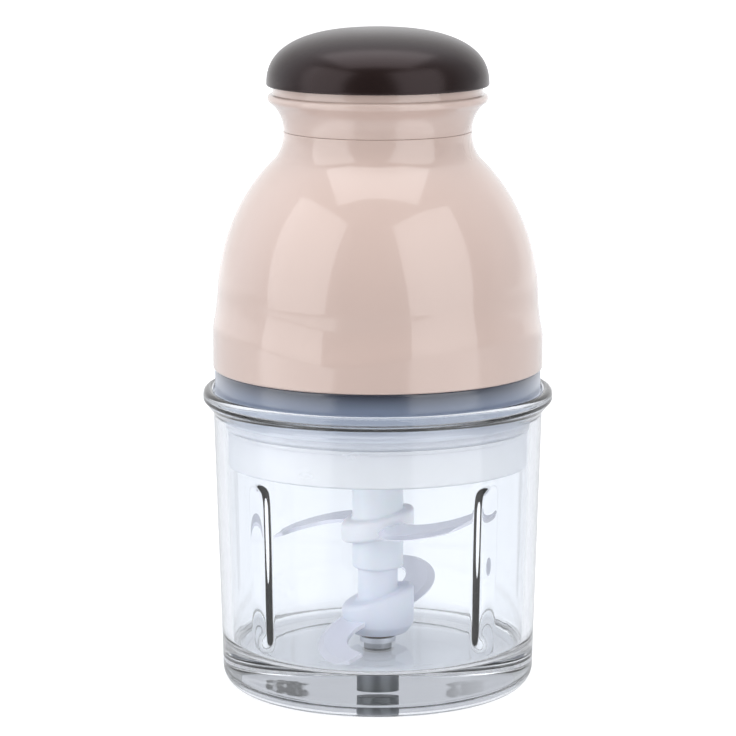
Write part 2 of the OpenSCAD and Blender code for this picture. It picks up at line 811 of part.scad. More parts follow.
module motor_bracket() {
    color("LightGray")
        difference() {
            union() {
                arms(post_r + 5, 11, bracket_z, bracket_t);
                translate([0, 0, bracket_z])
                    cylinder(r = shield_r, h = bracket_t);
                at_bolts()
                    translate([0, 0, bracket_z + bracket_t - eps])
                        cylinder(r = column_r, h = stack_z - bracket_z - bracket_t + eps);
            }
            translate([0, 0, bracket_z - 1])
                cylinder(r = shaft_r + 3, h = bracket_t + 2);
            at_bolts()
                translate([0, 0, bracket_z - 1])
                    cylinder(r = bolt_r, h = 40);
            at_four(post_r, 0)
                translate([0, 0, bracket_z - 1])
                    cylinder(r = 1.25, h = bracket_t + 2);
        }
}

module motor_mounts() {
    color("DimGray")
        at_four(post_r, 0)
            ring(1.25, 4.6, post_top, bracket_z);
}

module mount_screws() {
    color("Silver")
        at_four(post_r, 0) {
            translate([0, 0, post_top - 7])
                cylinder(r = 1.25, h = bracket_z + bracket_t - post_top + 7 + eps);
            translate([0, 0, bracket_z + bracket_t])
                cylinder(r = 2.8, h = 2.2);
        }
}

module end_frame() {
    color("SaddleBrown")
        difference() {
            union() {
                translate([0, 0, frame_z])
                    cylinder(r = shield_r, h = frame_t);
                at_bolts()
                    translate([0, 0, stack_top])
                        cylinder(r = column_r, h = frame_z - stack_top + eps);
            }
            translate([0, 0, frame_z - 1])
                cylinder(r = shaft_r + 3, h = frame_t + 2);
            at_bolts()
                translate([0, 0, stack_top - 1])
                    cylinder(r = bolt_r, h = 60);
            for (k = [45:90:315])
                rotate([0, 0, k])
                    translate([14, 0, frame_z - 1])
                        cylinder(r = 3.4, h = frame_t + 2);
        }
}

// A sector of a ring about the axis, from angle a0 to a1
module sector(r_in, r_out, a0, a1, z0, z1) {
    translate([0, 0, z0])
        linear_extrude(height = z1 - z0)
            polygon(concat([for (i = [0:10]) polar(r_out, a0 + (a1 - a0) * i / 10)],
                [for (i = [10:-1:0]) polar(r_in, a0 + (a1 - a0) * i / 10)]));
}

// The space that one field coil fills, let out by the clearance c
module coil(turn, c) {
    r_in = armature_r + 0.8 - c;
    r_out = armature_r + 4.2 + c;
    rotate([0, 0, turn]) {
        sector(r_in, r_out, 24, 44 + c, stack_z - coil_over, stack_top + coil_over);
        sector(r_in, r_out, 136 - c, 156, stack_z - coil_over, stack_top + coil_over);
        sector(r_in, r_out, 24, 156, stack_z - coil_over, stack_z - 0.3);
        sector(r_in, r_out, 24, 156, stack_top + 0.3, stack_top + coil_over);
    }
}

module stator_core() {
    color("DarkSlateGray")
        difference() {
            intersection() {
                translate([-stack_x, -stack_y, stack_z])
                    cube([2 * stack_x, 2 * stack_y, stack_h]);
                translate([0, 0, stack_z - 1])
                    cylinder(r = norm([bolt_x, bolt_y]) + 3.4, h = stack_h + 2);
            }
            translate([0, 0, stack_z - 1])
                cylinder(r = armature_r + 0.5, h = stack_h + 2);
            for (k = [0, 180])
                rotate([0, 0, k]) {
                    sector(armature_r, armature_r + 4.5, 22, 46, stack_z - 1, stack_top + 1);
                    sector(armature_r, armature_r + 4.5, 134, 158, stack_z - 1, stack_top + 1);
                }
            at_bolts()
                translate([0, 0, stack_z - 1])
                    cylinder(r = bolt_r, h = stack_h + 2);
        }
}

module field_coils() {
    color("Chocolate")
        for (k = [0, 180])
            coil(k, 0);
}

module stator_bolts() {
    color("Silver")
        at_bolts() {
            translate([0, 0, bracket_z])
                cylinder(r = bolt_r, h = frame_z + frame_t - bracket_z + eps);
            translate([0, 0, frame_z + frame_t])
                cylinder(r = 2.9, h = 1.8);
        }
}

module lower_bush() {
    color("Peru")
        ring(shaft_r + run_fit, shaft_r + 3, bracket_z - 0.8, bracket_z + 3.8);
}

module upper_bush() {
    color("Peru")
        ring(shaft_r + run_fit, shaft_r + 3, frame_z - 0.8, shaft_top - 0.6);
}

module motor_shaft() {
    color("Silver")
        translate([0, 0, gear_low - 0.3])
            cylinder(r = shaft_r, h = shaft_top - gear_low + 0.3);
}

module sun_gear() {
    color("Goldenrod")
        translate([0, 0, gear_low])
            difference() {
                linear_extrude(height = gear_h)
                    polygon(gear_outline(gear_z, gear_m, 1, 1.25, gear_slack, 90));
                translate([0, 0, -1])
                    cylinder(r = shaft_r, h = gear_h + 2);
            }
}

module armature_core() {
    color("SlateGray")
        difference() {
            ring(shaft_r, armature_r, stack_z, stack_top);
            for (k = [0:11])
                rotate([0, 0, 30 * k])
                    translate([armature_r - 4, -0.9, stack_z - 1])
                        cube([6, 1.8, stack_h + 2]);
        }
}

module armature_winding() {
    color("Chocolate") {
        ring(shaft_r, armature_r - 2, stack_z - winding_over, stack_z);
        ring(shaft_r, armature_r - 2, stack_top, stack_top + winding_over);
    }
}

module commutator() {
    color("DarkOrange")
        difference() {
            ring(shaft_r, comm_r, comm_z, comm_z + comm_h);
            for (k = [0:11])
                rotate([0, 0, 30 * k + 15])
                    translate([comm_r - 1.2, -0.25, comm_z - 1])
                        cube([3, 0.5, comm_h + 2]);
        }
}

module cooling_fan() {
    color("Black")
        union() {
            ring(shaft_r, 7, fan_z, fan_z + fan_h);
            ring(6.5, fan_r, fan_z, fan_z + 1.2);
            for (k = [0:8])
                rotate([0, 0, 40 * k])
                    translate([6, -0.6, fan_z + 1])
                        cube([fan_r - 6.6, 1.2, fan_h - 1]);
        }
}

module brush_holders() {
    color("DarkGoldenrod")
        for (k = [0, 180])
            rotate([0, 0, k])
                difference() {
                    translate([comm_r + 1.2, -4, comm_z + 0.6])
                        cube([14, 8, frame_z - comm_z - 0.6]);
                    translate([comm_r, -2.6, comm_z + 1.6])
                        cube([13, 5.2, 5.2]);
                }
}

module carbon_brushes() {
    color("Black")
        for (k = [0, 180])
            rotate([0, 0, k])
                translate([comm_r + 0.1, -2.5, comm_z + 1.6])
                    cube([10, 5, 5]);
}

module switch_cradle() {
    color("Gray")
        union() {
            translate([-13, -6, cradle_z])
                cube([26, 12, 1.5]);
            for (x = [-1, 1])
                translate([x * 12.2 - 0.8, -6, cradle_z])
                    cube([1.6, 12, deck_z - cradle_z]);
            for (x = [-1, 1])
                difference() {
                    translate([x * 15 - 3.6, -6, deck_z - 1.6])
                        cube([7.2, 12, 1.6]);
                    translate([x * 16, 0, deck_z - 3])
                        cylinder(r = 1.2, h = 5);
                }
        }
}

module cradle_screws() {
    color("Silver")
        for (x = [-1, 1])
            translate([x * 16, 0, 0])
                screw_up(deck_z - 1.6, 1.2, 3.6, 2.2, 1.4);
}

module switch_body() {
    color("Black")
        union() {
            difference() {
                translate([-10, -5, switch_z])
                    cube([20, 10, switch_h]);
                translate([0, 0, switch_z + 0.9])
                    cylinder(r = 1.7, h = switch_h);
            }
            for (x = [-7, 7])
                translate([x - 1, -9, switch_z + 2.6])
                    cube([2, 4 + eps, 0.6]);
        }
}

module switch_plunger() {
    color("Crimson")
        translate([0, 0, switch_z + 0.9 + press_travel + 0.3])
            cylinder(r = 1.6, h = post_low - switch_z - 1.2 - press_travel);
}

// The collar's deck has a slot for each leg of the button
module leg_slots() {
    for (k = [0:2])
        rotate([0, 0, 90 + 120 * k])
            translate([leg_r - 0.5, -4.6, deck_z - 1])
                cube([3.4, 9.2, deck_t + 2]);
}

module neck_collar() {
    in_r = spigot_r;
    flare_r = collar_lip_r - lip_round + lip_round * cos(-50);
    flare_z = lip_top - lip_round + lip_round * sin(-50);
    color("AntiqueWhite")
        difference() {
            rotate_extrude()
                polygon(concat([[in_r - spigot_t, seam_z - 4], [in_r, seam_z - 4], [in_r, seam_z]],
                    flare(neck_r, seam_z, flare_r, flare_z, 8),
                    oval(collar_lip_r - lip_round, lip_top - lip_round, lip_round, lip_round, -40, 90, 6),
                    [[upstand_r, lip_top], [upstand_r, upstand_top], [upstand_r - 2, upstand_top],
                        [upstand_r - 2, lip_top - 2], [in_r, lip_top - 5.5], [in_r, deck_top], [5, deck_top],
                        [5, deck_z], [in_r - spigot_t, deck_z]]));
            leg_slots();
            for (x = [-1, 1])
                translate([x * 16, 0, deck_z - 1])
                    cylinder(r = 1.2, h = 3.2);
        }
}

module button_carrier() {
    plate_low = cap_bore_top + 0.1;
    color("WhiteSmoke")
        union() {
            translate([0, 0, plate_low])
                cylinder(r = cap_bore_r - 3.9, h = seat_plate_t);
            translate([0, 0, post_low + eps])
                cylinder(r = 4, h = plate_low - post_low);
            for (k = [0:2])
                rotate([0, 0, 90 + 120 * k]) {
                    translate([leg_r, -4, deck_z - 2.2])
                        cube([2.2, 8, plate_low - deck_z + 2.2 + eps]);
                    translate([leg_r, -4, deck_z - 2.2])
                        cube([3.8, 8, 2.1]);
                }
        }
}

// A round wire wound about the axis
module button_spring() {
    plate_low = cap_bore_top + 0.1;
    n = 20 * spring_turns;
    m = 8;
    r = wire_d / 2;
    z0 = deck_top + r + 0.05;
    z1 = plate_low - r - 0.05;
    pts = [for (k = [0:n])
        let (a = 360 * spring_turns * k / n, z = z0 + (z1 - z0) * k / n)
        each [for (j = [0:m - 1])
            let (w = spring_r + r * cos(360 * j / m))
            [w * cos(a), w * sin(a), z + r * sin(360 * j / m)]]];
    sides = [for (k = [0:n - 1]) for (j = [0:m - 1])
        let (j2 = (j + 1) % m)
        each [[k * m + j, (k + 1) * m + j, k * m + j2], [k * m + j2, (k + 1) * m + j, (k + 1) * m + j2]]];
    color("Silver")
        polyhedron(points = pts, faces = concat(sides, [[for (j = [0:m - 1]) j]],
            [[for (j = [m - 1:-1:0]) n * m + j]]));
}

module button_cap() {
    n = 18;
    seat_z0 = cap_bore_top + 0.1;
    seat_z1 = seat_z0 + seat_plate_t;
    seat_r = cap_bore_r - 3.7;
    in_r = seat_r - 3;
    in_h = cap_top - cap_wall - seat_z1;
    color("DarkSlateGray")
        difference() {
            rotate_extrude()
                polygon(concat([[0, cap_low]], [for (i = [0:n])
                    let (u = sin(90 * i / n))
                    [cap_at(u), cap_low + cap_h * u]]));
            rotate_extrude()
                polygon(concat([[0, cap_low - 1], [cap_bore_r, cap_low - 1], [cap_bore_r, cap_bore_top],
                    [seat_r, seat_z0], [seat_r, seat_z1]], oval(0, seat_z1, in_r, in_h, 0, 90, 10)));
        }
}

glass_bowl();
spindle_pin();
blade_stem();
blade_sleeve();
upper_blade();
lower_blade();
stem_bush();
drive_hex();
bowl_lid();
lid_seal();
motor_shell();
neck_collar();
base_plate();
base_screws();
cord_gland();
ring_gear();
gear_cover();
output_bush();
planet_carrier();
planet_pins();
planet_gear_1();
planet_gear_2();
planet_gear_3();
drive_socket();
motor_bracket();
motor_mounts();
mount_screws();
end_frame();
stator_core();
field_coils();
stator_bolts();
lower_bush();
upper_bush();
motor_shaft();
sun_gear();
armature_core();
armature_winding();
commutator();
cooling_fan();
brush_holders();
carbon_brushes();
switch_cradle();
cradle_screws();
switch_body();
switch_plunger();
button_carrier();
button_spring();
button_cap();
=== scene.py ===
# %% [markdown]
# # An electric mini chopper
# The object is a glass bowl with two steel blades on a spindle, a frosted inner lid, a glossy beige motor
# housing and a dark brown button on top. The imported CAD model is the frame: it gives every size, and this
# script gives the looks. Lengths in the cells below are millimetres, as on a drawing, and one helper turns
# them into metres when a mesh is made.

import bmesh
import bpy
import numpy as np
from mathutils import Matrix, Vector


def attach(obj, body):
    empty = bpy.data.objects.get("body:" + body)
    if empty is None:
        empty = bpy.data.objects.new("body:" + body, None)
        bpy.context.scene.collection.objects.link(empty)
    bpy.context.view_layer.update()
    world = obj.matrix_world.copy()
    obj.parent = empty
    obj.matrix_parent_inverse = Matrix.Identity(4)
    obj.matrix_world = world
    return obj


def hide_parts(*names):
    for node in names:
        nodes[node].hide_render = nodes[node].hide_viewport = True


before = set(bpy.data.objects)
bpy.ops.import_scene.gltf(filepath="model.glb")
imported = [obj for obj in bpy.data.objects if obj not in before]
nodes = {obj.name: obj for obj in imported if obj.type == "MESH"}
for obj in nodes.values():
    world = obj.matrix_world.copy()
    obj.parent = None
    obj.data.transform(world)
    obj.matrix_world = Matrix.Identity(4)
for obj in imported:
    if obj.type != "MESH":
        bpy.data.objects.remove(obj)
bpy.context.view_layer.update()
MM = 0.001

# %% [markdown]
# ## The camera
# The photograph was taken with a long lens from a little above. A camera was fitted to the ellipses of the
# glass lip, the housing's edge and the cap: it stands 1.2 m away, 326 mm up, and looks down by 10 degrees.
# The axis of the object is a few pixels right of the middle, which a small sideways shift gives.

# %% Camera
PHOTO_PX, FOCAL_PX, SHIFT_PX, SENSOR = 736.0, 3402.0, -9.8, 36.0
CAMERA_PLACE, LOOK_DOWN = (0.0, -1.199, 0.3261), 9.98

camera_data = bpy.data.cameras.new("photo_camera")
camera_data.lens = FOCAL_PX * SENSOR / PHOTO_PX
camera_data.sensor_width = SENSOR
camera_data.shift_x = SHIFT_PX / PHOTO_PX
camera_data.clip_end = 50.0
camera = bpy.data.objects.new("photo_camera", camera_data)
camera.location = CAMERA_PLACE
camera.rotation_euler = (np.radians(90.0 - LOOK_DOWN), 0.0, 0.0)
bpy.context.scene.collection.objects.link(camera)
bpy.context.scene.camera = camera
print("lens", round(camera_data.lens, 1), "mm")

# %% [markdown]
# ## Surfaces from arrays
# Nearly everything here is turned on a lathe or moulded in a round tool, so a piece is a grid: rings of
# points one above the other. A profile is drawn as corners with a rounding each, then turned about the
# spindle. Numpy works on whole grids at once, and one function makes the mesh, closes the poles and turns
# the faces outwards.

# %% Grid to mesh
def skin(name, grid, closed=False, poles=(False, False)):
    """Mesh of grid[i, j], point j on ring i, in millimetres. Rings close on themselves.
    closed joins the last ring to the first, and a pole draws an end ring into one point."""
    rings, around = grid.shape[:2]
    index = np.arange(rings * around).reshape(rings, around)
    points = grid.reshape(-1, 3)
    if poles[0]:
        index[0] = 0
    if poles[1]:
        index[-1] = index[-1, 0]
    if closed:
        index = np.vstack([index, index[:1]])
    a, b = index[:-1], index[1:]
    quads = np.stack([a, np.roll(a, -1, 1), np.roll(b, -1, 1), b], -1).reshape(-1, 4)
    tris = np.concatenate([quads[:, [0, 1, 2]], quads[:, [0, 2, 3]]])
    corner = points[tris]
    volume = np.einsum("ij,ij->i", corner[:, 0], np.cross(corner[:, 1], corner[:, 2])).sum()
    if volume < 0:
        quads = quads[:, ::-1]
    used, quads = np.unique(quads, return_inverse=True)
    quads = quads.reshape(-1, 4)
    faces = [[v for k, v in enumerate(q) if v != q[k - 1]] for q in quads.tolist()]
    mesh = bpy.data.meshes.new(name)
    mesh.from_pydata((points[used] * MM).tolist(), [], faces)
    mesh.shade_smooth()
    mesh.update()
    piece = bpy.data.objects.new(name, mesh)
    bpy.context.scene.collection.objects.link(piece)
    print(name, len(mesh.vertices), "points")
    return piece


def turned(profile, around=192):
    """Grid of a profile of (r, z) turned about the spindle: x = r cos a, y = r sin a."""
    angle = np.linspace(0.0, 2.0 * np.pi, around, endpoint=False)
    r, z = profile[:, 0, None], profile[:, 1, None]
    return np.stack([r * np.cos(angle), r * np.sin(angle), z + 0.0 * angle], -1)


def rounded(corners, step=2.0, arc=6, loop=True):
    """Polyline through corners (r, z, rounding): each corner becomes an arc that touches both its sides.
    Long sides are cut into lengths of at most step, so that the shading stays tight near the arcs."""
    c = np.array(corners, float)
    xy, rad = c[:, :2], c[:, 2]
    out = []
    for k in range(len(c)):
        inner = loop or 0 < k < len(c) - 1
        if not inner or rad[k] <= 0:
            out.append(xy[k])
            continue
        p, q, s = xy[k - 1], xy[k], xy[(k + 1) % len(c)]
        u, v = (p - q) / np.linalg.norm(p - q), (s - q) / np.linalg.norm(s - q)
        half = np.arccos(np.clip(u @ v, -1, 1)) / 2
        away = (u + v) / np.linalg.norm(u + v)
        centre = q + away * rad[k] / np.sin(half)
        start = q + u * rad[k] / np.tan(half) - centre
        end = q + v * rad[k] / np.tan(half) - centre
        turn = np.arctan2(start[0] * end[1] - start[1] * end[0], start @ end)
        t = np.linspace(0, turn, arc + 1)[:, None]
        out.extend(centre + start * np.cos(t) + np.array([-start[1], start[0]]) * np.sin(t))
    line = np.array(out)
    ends = np.vstack([line, line[:1]]) if loop else line
    parts = [np.linspace(a, b, max(1, int(np.ceil(np.linalg.norm(b - a) / step))), endpoint=False)
             for a, b in zip(ends[:-1], ends[1:])]
    return np.vstack(parts if loop else parts + [ends[-1:]])


def smooth(x, low, high):
    """0 below low, 1 above high, and the curve 3t^2 - 2t^3 between them."""
    t = np.clip((x - low) / (high - low), 0.0, 1.0)
    return t * t * (3.0 - 2.0 * t)


print("surface helpers ready")

# %% [markdown]
# ## Shared effects
# Moulded plastic is never a perfect mirror: the skin has a fine unevenness that breaks up reflections.
# Steel that was ground or turned has streaks. Each effect is a node group with named sockets, so several
# finishes can share it with their own values.

# %% Moulded skin group
def new_group(name, inputs, outputs):
    """An empty shader group with float inputs {name: default} and outputs {name: socket type}."""
    group = bpy.data.node_groups.new(name, "ShaderNodeTree")
    for label, value in inputs.items():
        socket = group.interface.new_socket(label, in_out="INPUT", socket_type="NodeSocketFloat")
        socket.default_value = value
    for label, kind in outputs.items():
        group.interface.new_socket(label, in_out="OUTPUT", socket_type=kind)
    return group, group.nodes.new("NodeGroupInput"), group.nodes.new("NodeGroupOutput")


def moulded_skin_group():
    """Height and roughness of a moulded skin.
    Fast noise is the grain, and slow noise wipes the gloss a little."""
    group, given, result = new_group(
        "moulded_skin",
        {"Grain Scale": 900.0, "Grain Depth": 0.15, "Roughness Low": 0.2, "Roughness High": 0.3},
        {"Height": "NodeSocketFloat", "Roughness": "NodeSocketFloat"})
    place = group.nodes.new("ShaderNodeTexCoord")
    broad = group.nodes.new("ShaderNodeTexNoise")
    broad.inputs["Scale"].default_value = 22.0
    broad.inputs["Detail"].default_value = 2.0
    fine = group.nodes.new("ShaderNodeTexNoise")
    fine.inputs["Detail"].default_value = 3.0
    depth = group.nodes.new("ShaderNodeMath")
    depth.operation = "MULTIPLY"
    rough = group.nodes.new("ShaderNodeMapRange")
    rough.interpolation_type = "SMOOTHSTEP"
    link = group.links.new
    link(place.outputs["Object"], broad.inputs["Vector"])
    link(place.outputs["Object"], fine.inputs["Vector"])
    link(given.outputs["Grain Scale"], fine.inputs["Scale"])
    link(fine.outputs["Fac"], depth.inputs[0])
    link(given.outputs["Grain Depth"], depth.inputs[1])
    link(depth.outputs[0], result.inputs["Height"])
    rough.inputs["From Min"].default_value = 0.2
    rough.inputs["From Max"].default_value = 0.8
    link(broad.outputs["Fac"], rough.inputs["Value"])
    link(given.outputs["Roughness Low"], rough.inputs["To Min"])
    link(given.outputs["Roughness High"], rough.inputs["To Max"])
    link(rough.outputs["Result"], result.inputs["Roughness"])
    return group


moulded_skin = moulded_skin_group()
print("group", moulded_skin.name)

# %% Ground metal group
def ground_metal_group():
    """Height, tone and roughness of ground metal: noise that is stretched one way gives the streaks."""
    group, given, result = new_group(
        "ground_metal",
        {"Along X": 40.0, "Along Y": 1600.0, "Along Z": 400.0,
         "Roughness Low": 0.18, "Roughness High": 0.34},
        {"Height": "NodeSocketFloat", "Roughness": "NodeSocketFloat", "Tone": "NodeSocketFloat"})
    place = group.nodes.new("ShaderNodeTexCoord")
    scale = group.nodes.new("ShaderNodeCombineXYZ")
    stretch = group.nodes.new("ShaderNodeVectorMath")
    stretch.operation = "MULTIPLY"
    streak = group.nodes.new("ShaderNodeTexNoise")
    streak.inputs["Scale"].default_value = 1.0
    streak.inputs["Detail"].default_value = 4.0
    rough = group.nodes.new("ShaderNodeMapRange")
    rough.inputs["From Min"].default_value = 0.3
    rough.inputs["From Max"].default_value = 0.7
    link = group.links.new
    for label, axis in (("Along X", "X"), ("Along Y", "Y"), ("Along Z", "Z")):
        link(given.outputs[label], scale.inputs[axis])
    link(place.outputs["Object"], stretch.inputs[0])
    link(scale.outputs["Vector"], stretch.inputs[1])
    link(stretch.outputs["Vector"], streak.inputs["Vector"])
    link(streak.outputs["Fac"], rough.inputs["Value"])
    link(given.outputs["Roughness Low"], rough.inputs["To Min"])
    link(given.outputs["Roughness High"], rough.inputs["To Max"])
    link(rough.outputs["Result"], result.inputs["Roughness"])
    link(streak.outputs["Fac"], result.inputs["Height"])
    link(streak.outputs["Fac"], result.inputs["Tone"])
    return group


ground_metal = ground_metal_group()
print("group", ground_metal.name)

# %% [markdown]
# ## Finishes
# A finish is one Principled shader. What is the same all over, such as the index of refraction or the coat,
# is set on the shader itself. What varies, such as tone, roughness and relief, comes from a group. Colours
# are written as they look on screen and turned into linear light by one helper.

# %% Finish helpers
def screen(r, g, b):
    """Linear colour of a screen colour given as 0 to 255: ((c/255 + 0.055)/1.055)^2.4."""
    c = np.array([r, g, b]) / 255.0
    linear = np.where(c <= 0.04045, c / 12.92, ((c + 0.055) / 1.055) ** 2.4)
    return (*linear.tolist(), 1.0)


def new_finish(name, **sockets):
    """A material with one Principled shader. Its plain sockets are set by name, with _ for a space."""
    material = bpy.data.materials.new(name)
    material.use_nodes = True
    shader = material.node_tree.nodes["Principled BSDF"]
    for label, value in sockets.items():
        shader.inputs[label.replace("_", " ")].default_value = value
    return material, material.node_tree, shader


def add_group(tree, shader, group, bump=0.05, distance=0.0004, **values):
    """Places a group in a finish: its Roughness and a bump of its Height feed the shader."""
    node = tree.nodes.new("ShaderNodeGroup")
    node.node_tree = group
    for label, value in values.items():
        node.inputs[label.replace("_", " ")].default_value = value
    relief = tree.nodes.new("ShaderNodeBump")
    relief.inputs["Strength"].default_value = bump
    relief.inputs["Distance"].default_value = distance
    tree.links.new(node.outputs["Roughness"], shader.inputs["Roughness"])
    tree.links.new(node.outputs["Height"], relief.inputs["Height"])
    tree.links.new(relief.outputs["Normal"], shader.inputs["Normal"])
    return node


def two_tones(tree, shader, low, high, value=None, socket="Base Color"):
    """A colour socket runs from low to high with a value, or with slow noise on Object coordinates."""
    ramp = tree.nodes.new("ShaderNodeMix")
    ramp.data_type = "RGBA"
    ramp.inputs["A"].default_value = low
    ramp.inputs["B"].default_value = high
    if value is None:
        place = tree.nodes.new("ShaderNodeTexCoord")
        noise = tree.nodes.new("ShaderNodeTexNoise")
        noise.inputs["Scale"].default_value = 30.0
        noise.inputs["Detail"].default_value = 3.0
        tree.links.new(place.outputs["Object"], noise.inputs["Vector"])
        value = noise.outputs["Fac"]
    tree.links.new(value, ramp.inputs["Factor"])
    tree.links.new(ramp.outputs["Result"], shader.inputs[socket])


def wear(piece, material):
    """Gives a piece or a CAD node this one material."""
    piece.data.materials.clear()
    piece.data.materials.append(material)


print("finish helpers ready")

# %% Plastics
def moulded(name, low, high, rough, bump, grain=900.0, depth=0.15, **sockets):
    """A moulded plastic: two close tones, a roughness range and a grain."""
    material, tree, shader = new_finish(name, **sockets)
    add_group(tree, shader, moulded_skin, bump=bump, Grain_Scale=grain, Grain_Depth=depth,
              Roughness_Low=rough[0], Roughness_High=rough[1])
    two_tones(tree, shader, low, high)
    return material


beige_gloss = moulded("beige_gloss", screen(214, 190, 180), screen(216, 193, 183), (0.27, 0.31), 0.02,
                      depth=0.05, Coat_Weight=1.0, Coat_Roughness=0.05)
brown_satin = moulded("brown_satin", screen(30, 20, 18), screen(34, 23, 21), (0.22, 0.27), 0.03,
                      grain=1500.0, depth=0.3, Specular_IOR_Level=0.34,
                      Specular_Tint=(1.0, 0.84, 0.88, 1.0))
white_plastic = moulded("white_plastic", screen(245, 247, 252), screen(249, 250, 254), (0.3, 0.4), 0.05,
                        Subsurface_Weight=0.2, Subsurface_Scale=0.004)
grey_plastic = moulded("grey_plastic", screen(150, 150, 152), screen(160, 160, 162), (0.4, 0.5), 0.08)
black_plastic = moulded("black_plastic", screen(38, 38, 40), screen(46, 46, 48), (0.4, 0.5), 0.08)
brown_resin = moulded("brown_resin", screen(96, 64, 44), screen(110, 74, 52), (0.35, 0.5), 0.08)
red_plastic = moulded("red_plastic", screen(176, 42, 38), screen(186, 48, 42), (0.3, 0.4), 0.05)
nylon = moulded("nylon", screen(226, 219, 200), screen(234, 228, 212), (0.4, 0.5), 0.06,
                Subsurface_Weight=0.1, Subsurface_Scale=0.002)
soft_rubber = moulded("soft_rubber", screen(44, 40, 40), screen(54, 50, 49), (0.6, 0.75), 0.12,
                      grain=1400.0, depth=0.5)
pressed_carbon = moulded("pressed_carbon", screen(34, 34, 36), screen(58, 58, 60), (0.5, 0.7), 0.2,
                         grain=1800.0, depth=0.8)
print("plastics ready")

# %% Metals
def ground(name, low, high, rough, along, bump=0.06, metallic=1.0):
    """A metal with streaks along the directions whose scale is small.
    metallic under 1 mixes in some plain base, for pale steel in a white room."""
    material, tree, shader = new_finish(name, Metallic=metallic)
    node = add_group(tree, shader, ground_metal, bump=bump, distance=0.0002,
                     Along_X=along[0], Along_Y=along[1], Along_Z=along[2],
                     Roughness_Low=rough[0], Roughness_High=rough[1])
    two_tones(tree, shader, low, high, node.outputs["Tone"])
    return material


blade_steel = ground("blade_steel", screen(240, 240, 250), screen(246, 246, 254), (0.2, 0.25),
                     (300, 40, 40), 0.01, metallic=0.5)
turned_steel = ground("turned_steel", screen(186, 188, 194), screen(216, 218, 222), (0.2, 0.32),
                      (60, 60, 2200))
plated_steel = ground("plated_steel", screen(186, 186, 190), screen(206, 206, 210), (0.25, 0.35),
                      (300, 300, 300))
hobbed_steel = ground("hobbed_steel", screen(160, 160, 166), screen(190, 190, 194), (0.28, 0.4),
                      (500, 500, 80))
sintered_bronze = ground("sintered_bronze", screen(66, 56, 48), screen(92, 78, 64), (0.4, 0.55),
                         (900, 900, 900))
stamped_brass = ground("stamped_brass", screen(204, 168, 92), screen(218, 184, 110), (0.25, 0.4),
                       (80, 1200, 400))
wound_copper = ground("wound_copper", screen(172, 88, 48), screen(214, 128, 78), (0.25, 0.4),
                      (60, 60, 2600), 0.5)
lamination = ground("lamination", screen(104, 106, 112), screen(136, 138, 142), (0.35, 0.5),
                    (60, 60, 3200), 0.5)
cast_alloy = ground("cast_alloy", screen(180, 182, 186), screen(196, 198, 202), (0.4, 0.55),
                    (700, 700, 700), 0.15)
print("metals ready")

# %% Clear and frosted
def clear_glass_finish():
    """Pressed clear glass: almost no tint, and a slow ripple of the surface that bends the view."""
    material, tree, shader = new_finish("clear_glass", Base_Color=(0.95, 0.97, 0.99, 1.0), Roughness=0.0,
                                        Metallic=0.0, IOR=1.5, Transmission_Weight=1.0)
    place = tree.nodes.new("ShaderNodeTexCoord")
    ripple = tree.nodes.new("ShaderNodeTexNoise")
    ripple.inputs["Scale"].default_value = 14.0
    ripple.inputs["Detail"].default_value = 1.0
    relief = tree.nodes.new("ShaderNodeBump")
    relief.inputs["Strength"].default_value = 0.02
    relief.inputs["Distance"].default_value = 0.002
    tree.links.new(place.outputs["Object"], ripple.inputs["Vector"])
    tree.links.new(ripple.outputs["Fac"], relief.inputs["Height"])
    tree.links.new(relief.outputs["Normal"], shader.inputs["Normal"])
    return material


def frosted_finish(name, rough, weight, **sockets):
    """A frosted plastic: weight is the share of light that passes, and it spreads on its way."""
    material, tree, shader = new_finish(name, IOR=1.46, Transmission_Weight=weight, **sockets)
    add_group(tree, shader, moulded_skin, bump=0.05, Grain_Scale=1500.0, Grain_Depth=0.3,
              Roughness_Low=rough[0], Roughness_High=rough[1])
    return material, tree, shader


def painted_shade_by_height(tree, shader, low, high, tones):
    """Painted shade by height: Base Color tones are spread over Object z from low to high (mm) and fade
    smoothly.
    """
    place = tree.nodes.new("ShaderNodeTexCoord")
    axes = tree.nodes.new("ShaderNodeSeparateXYZ")
    spread = tree.nodes.new("ShaderNodeMapRange")
    spread.inputs["From Min"].default_value = low * MM
    spread.inputs["From Max"].default_value = high * MM
    ramp = tree.nodes.new("ShaderNodeValToRGB")
    ramp.color_ramp.interpolation = "EASE"
    for _ in tones[2:]:
        ramp.color_ramp.elements.new(0.5)
    for k, tone in enumerate(tones):
        ramp.color_ramp.elements[k].position = k / (len(tones) - 1)
        ramp.color_ramp.elements[k].color = tone
    tree.links.new(place.outputs["Object"], axes.inputs["Vector"])
    tree.links.new(axes.outputs["Z"], spread.inputs["Value"])
    tree.links.new(spread.outputs["Result"], ramp.inputs["Fac"])
    tree.links.new(ramp.outputs["Color"], shader.inputs["Base Color"])
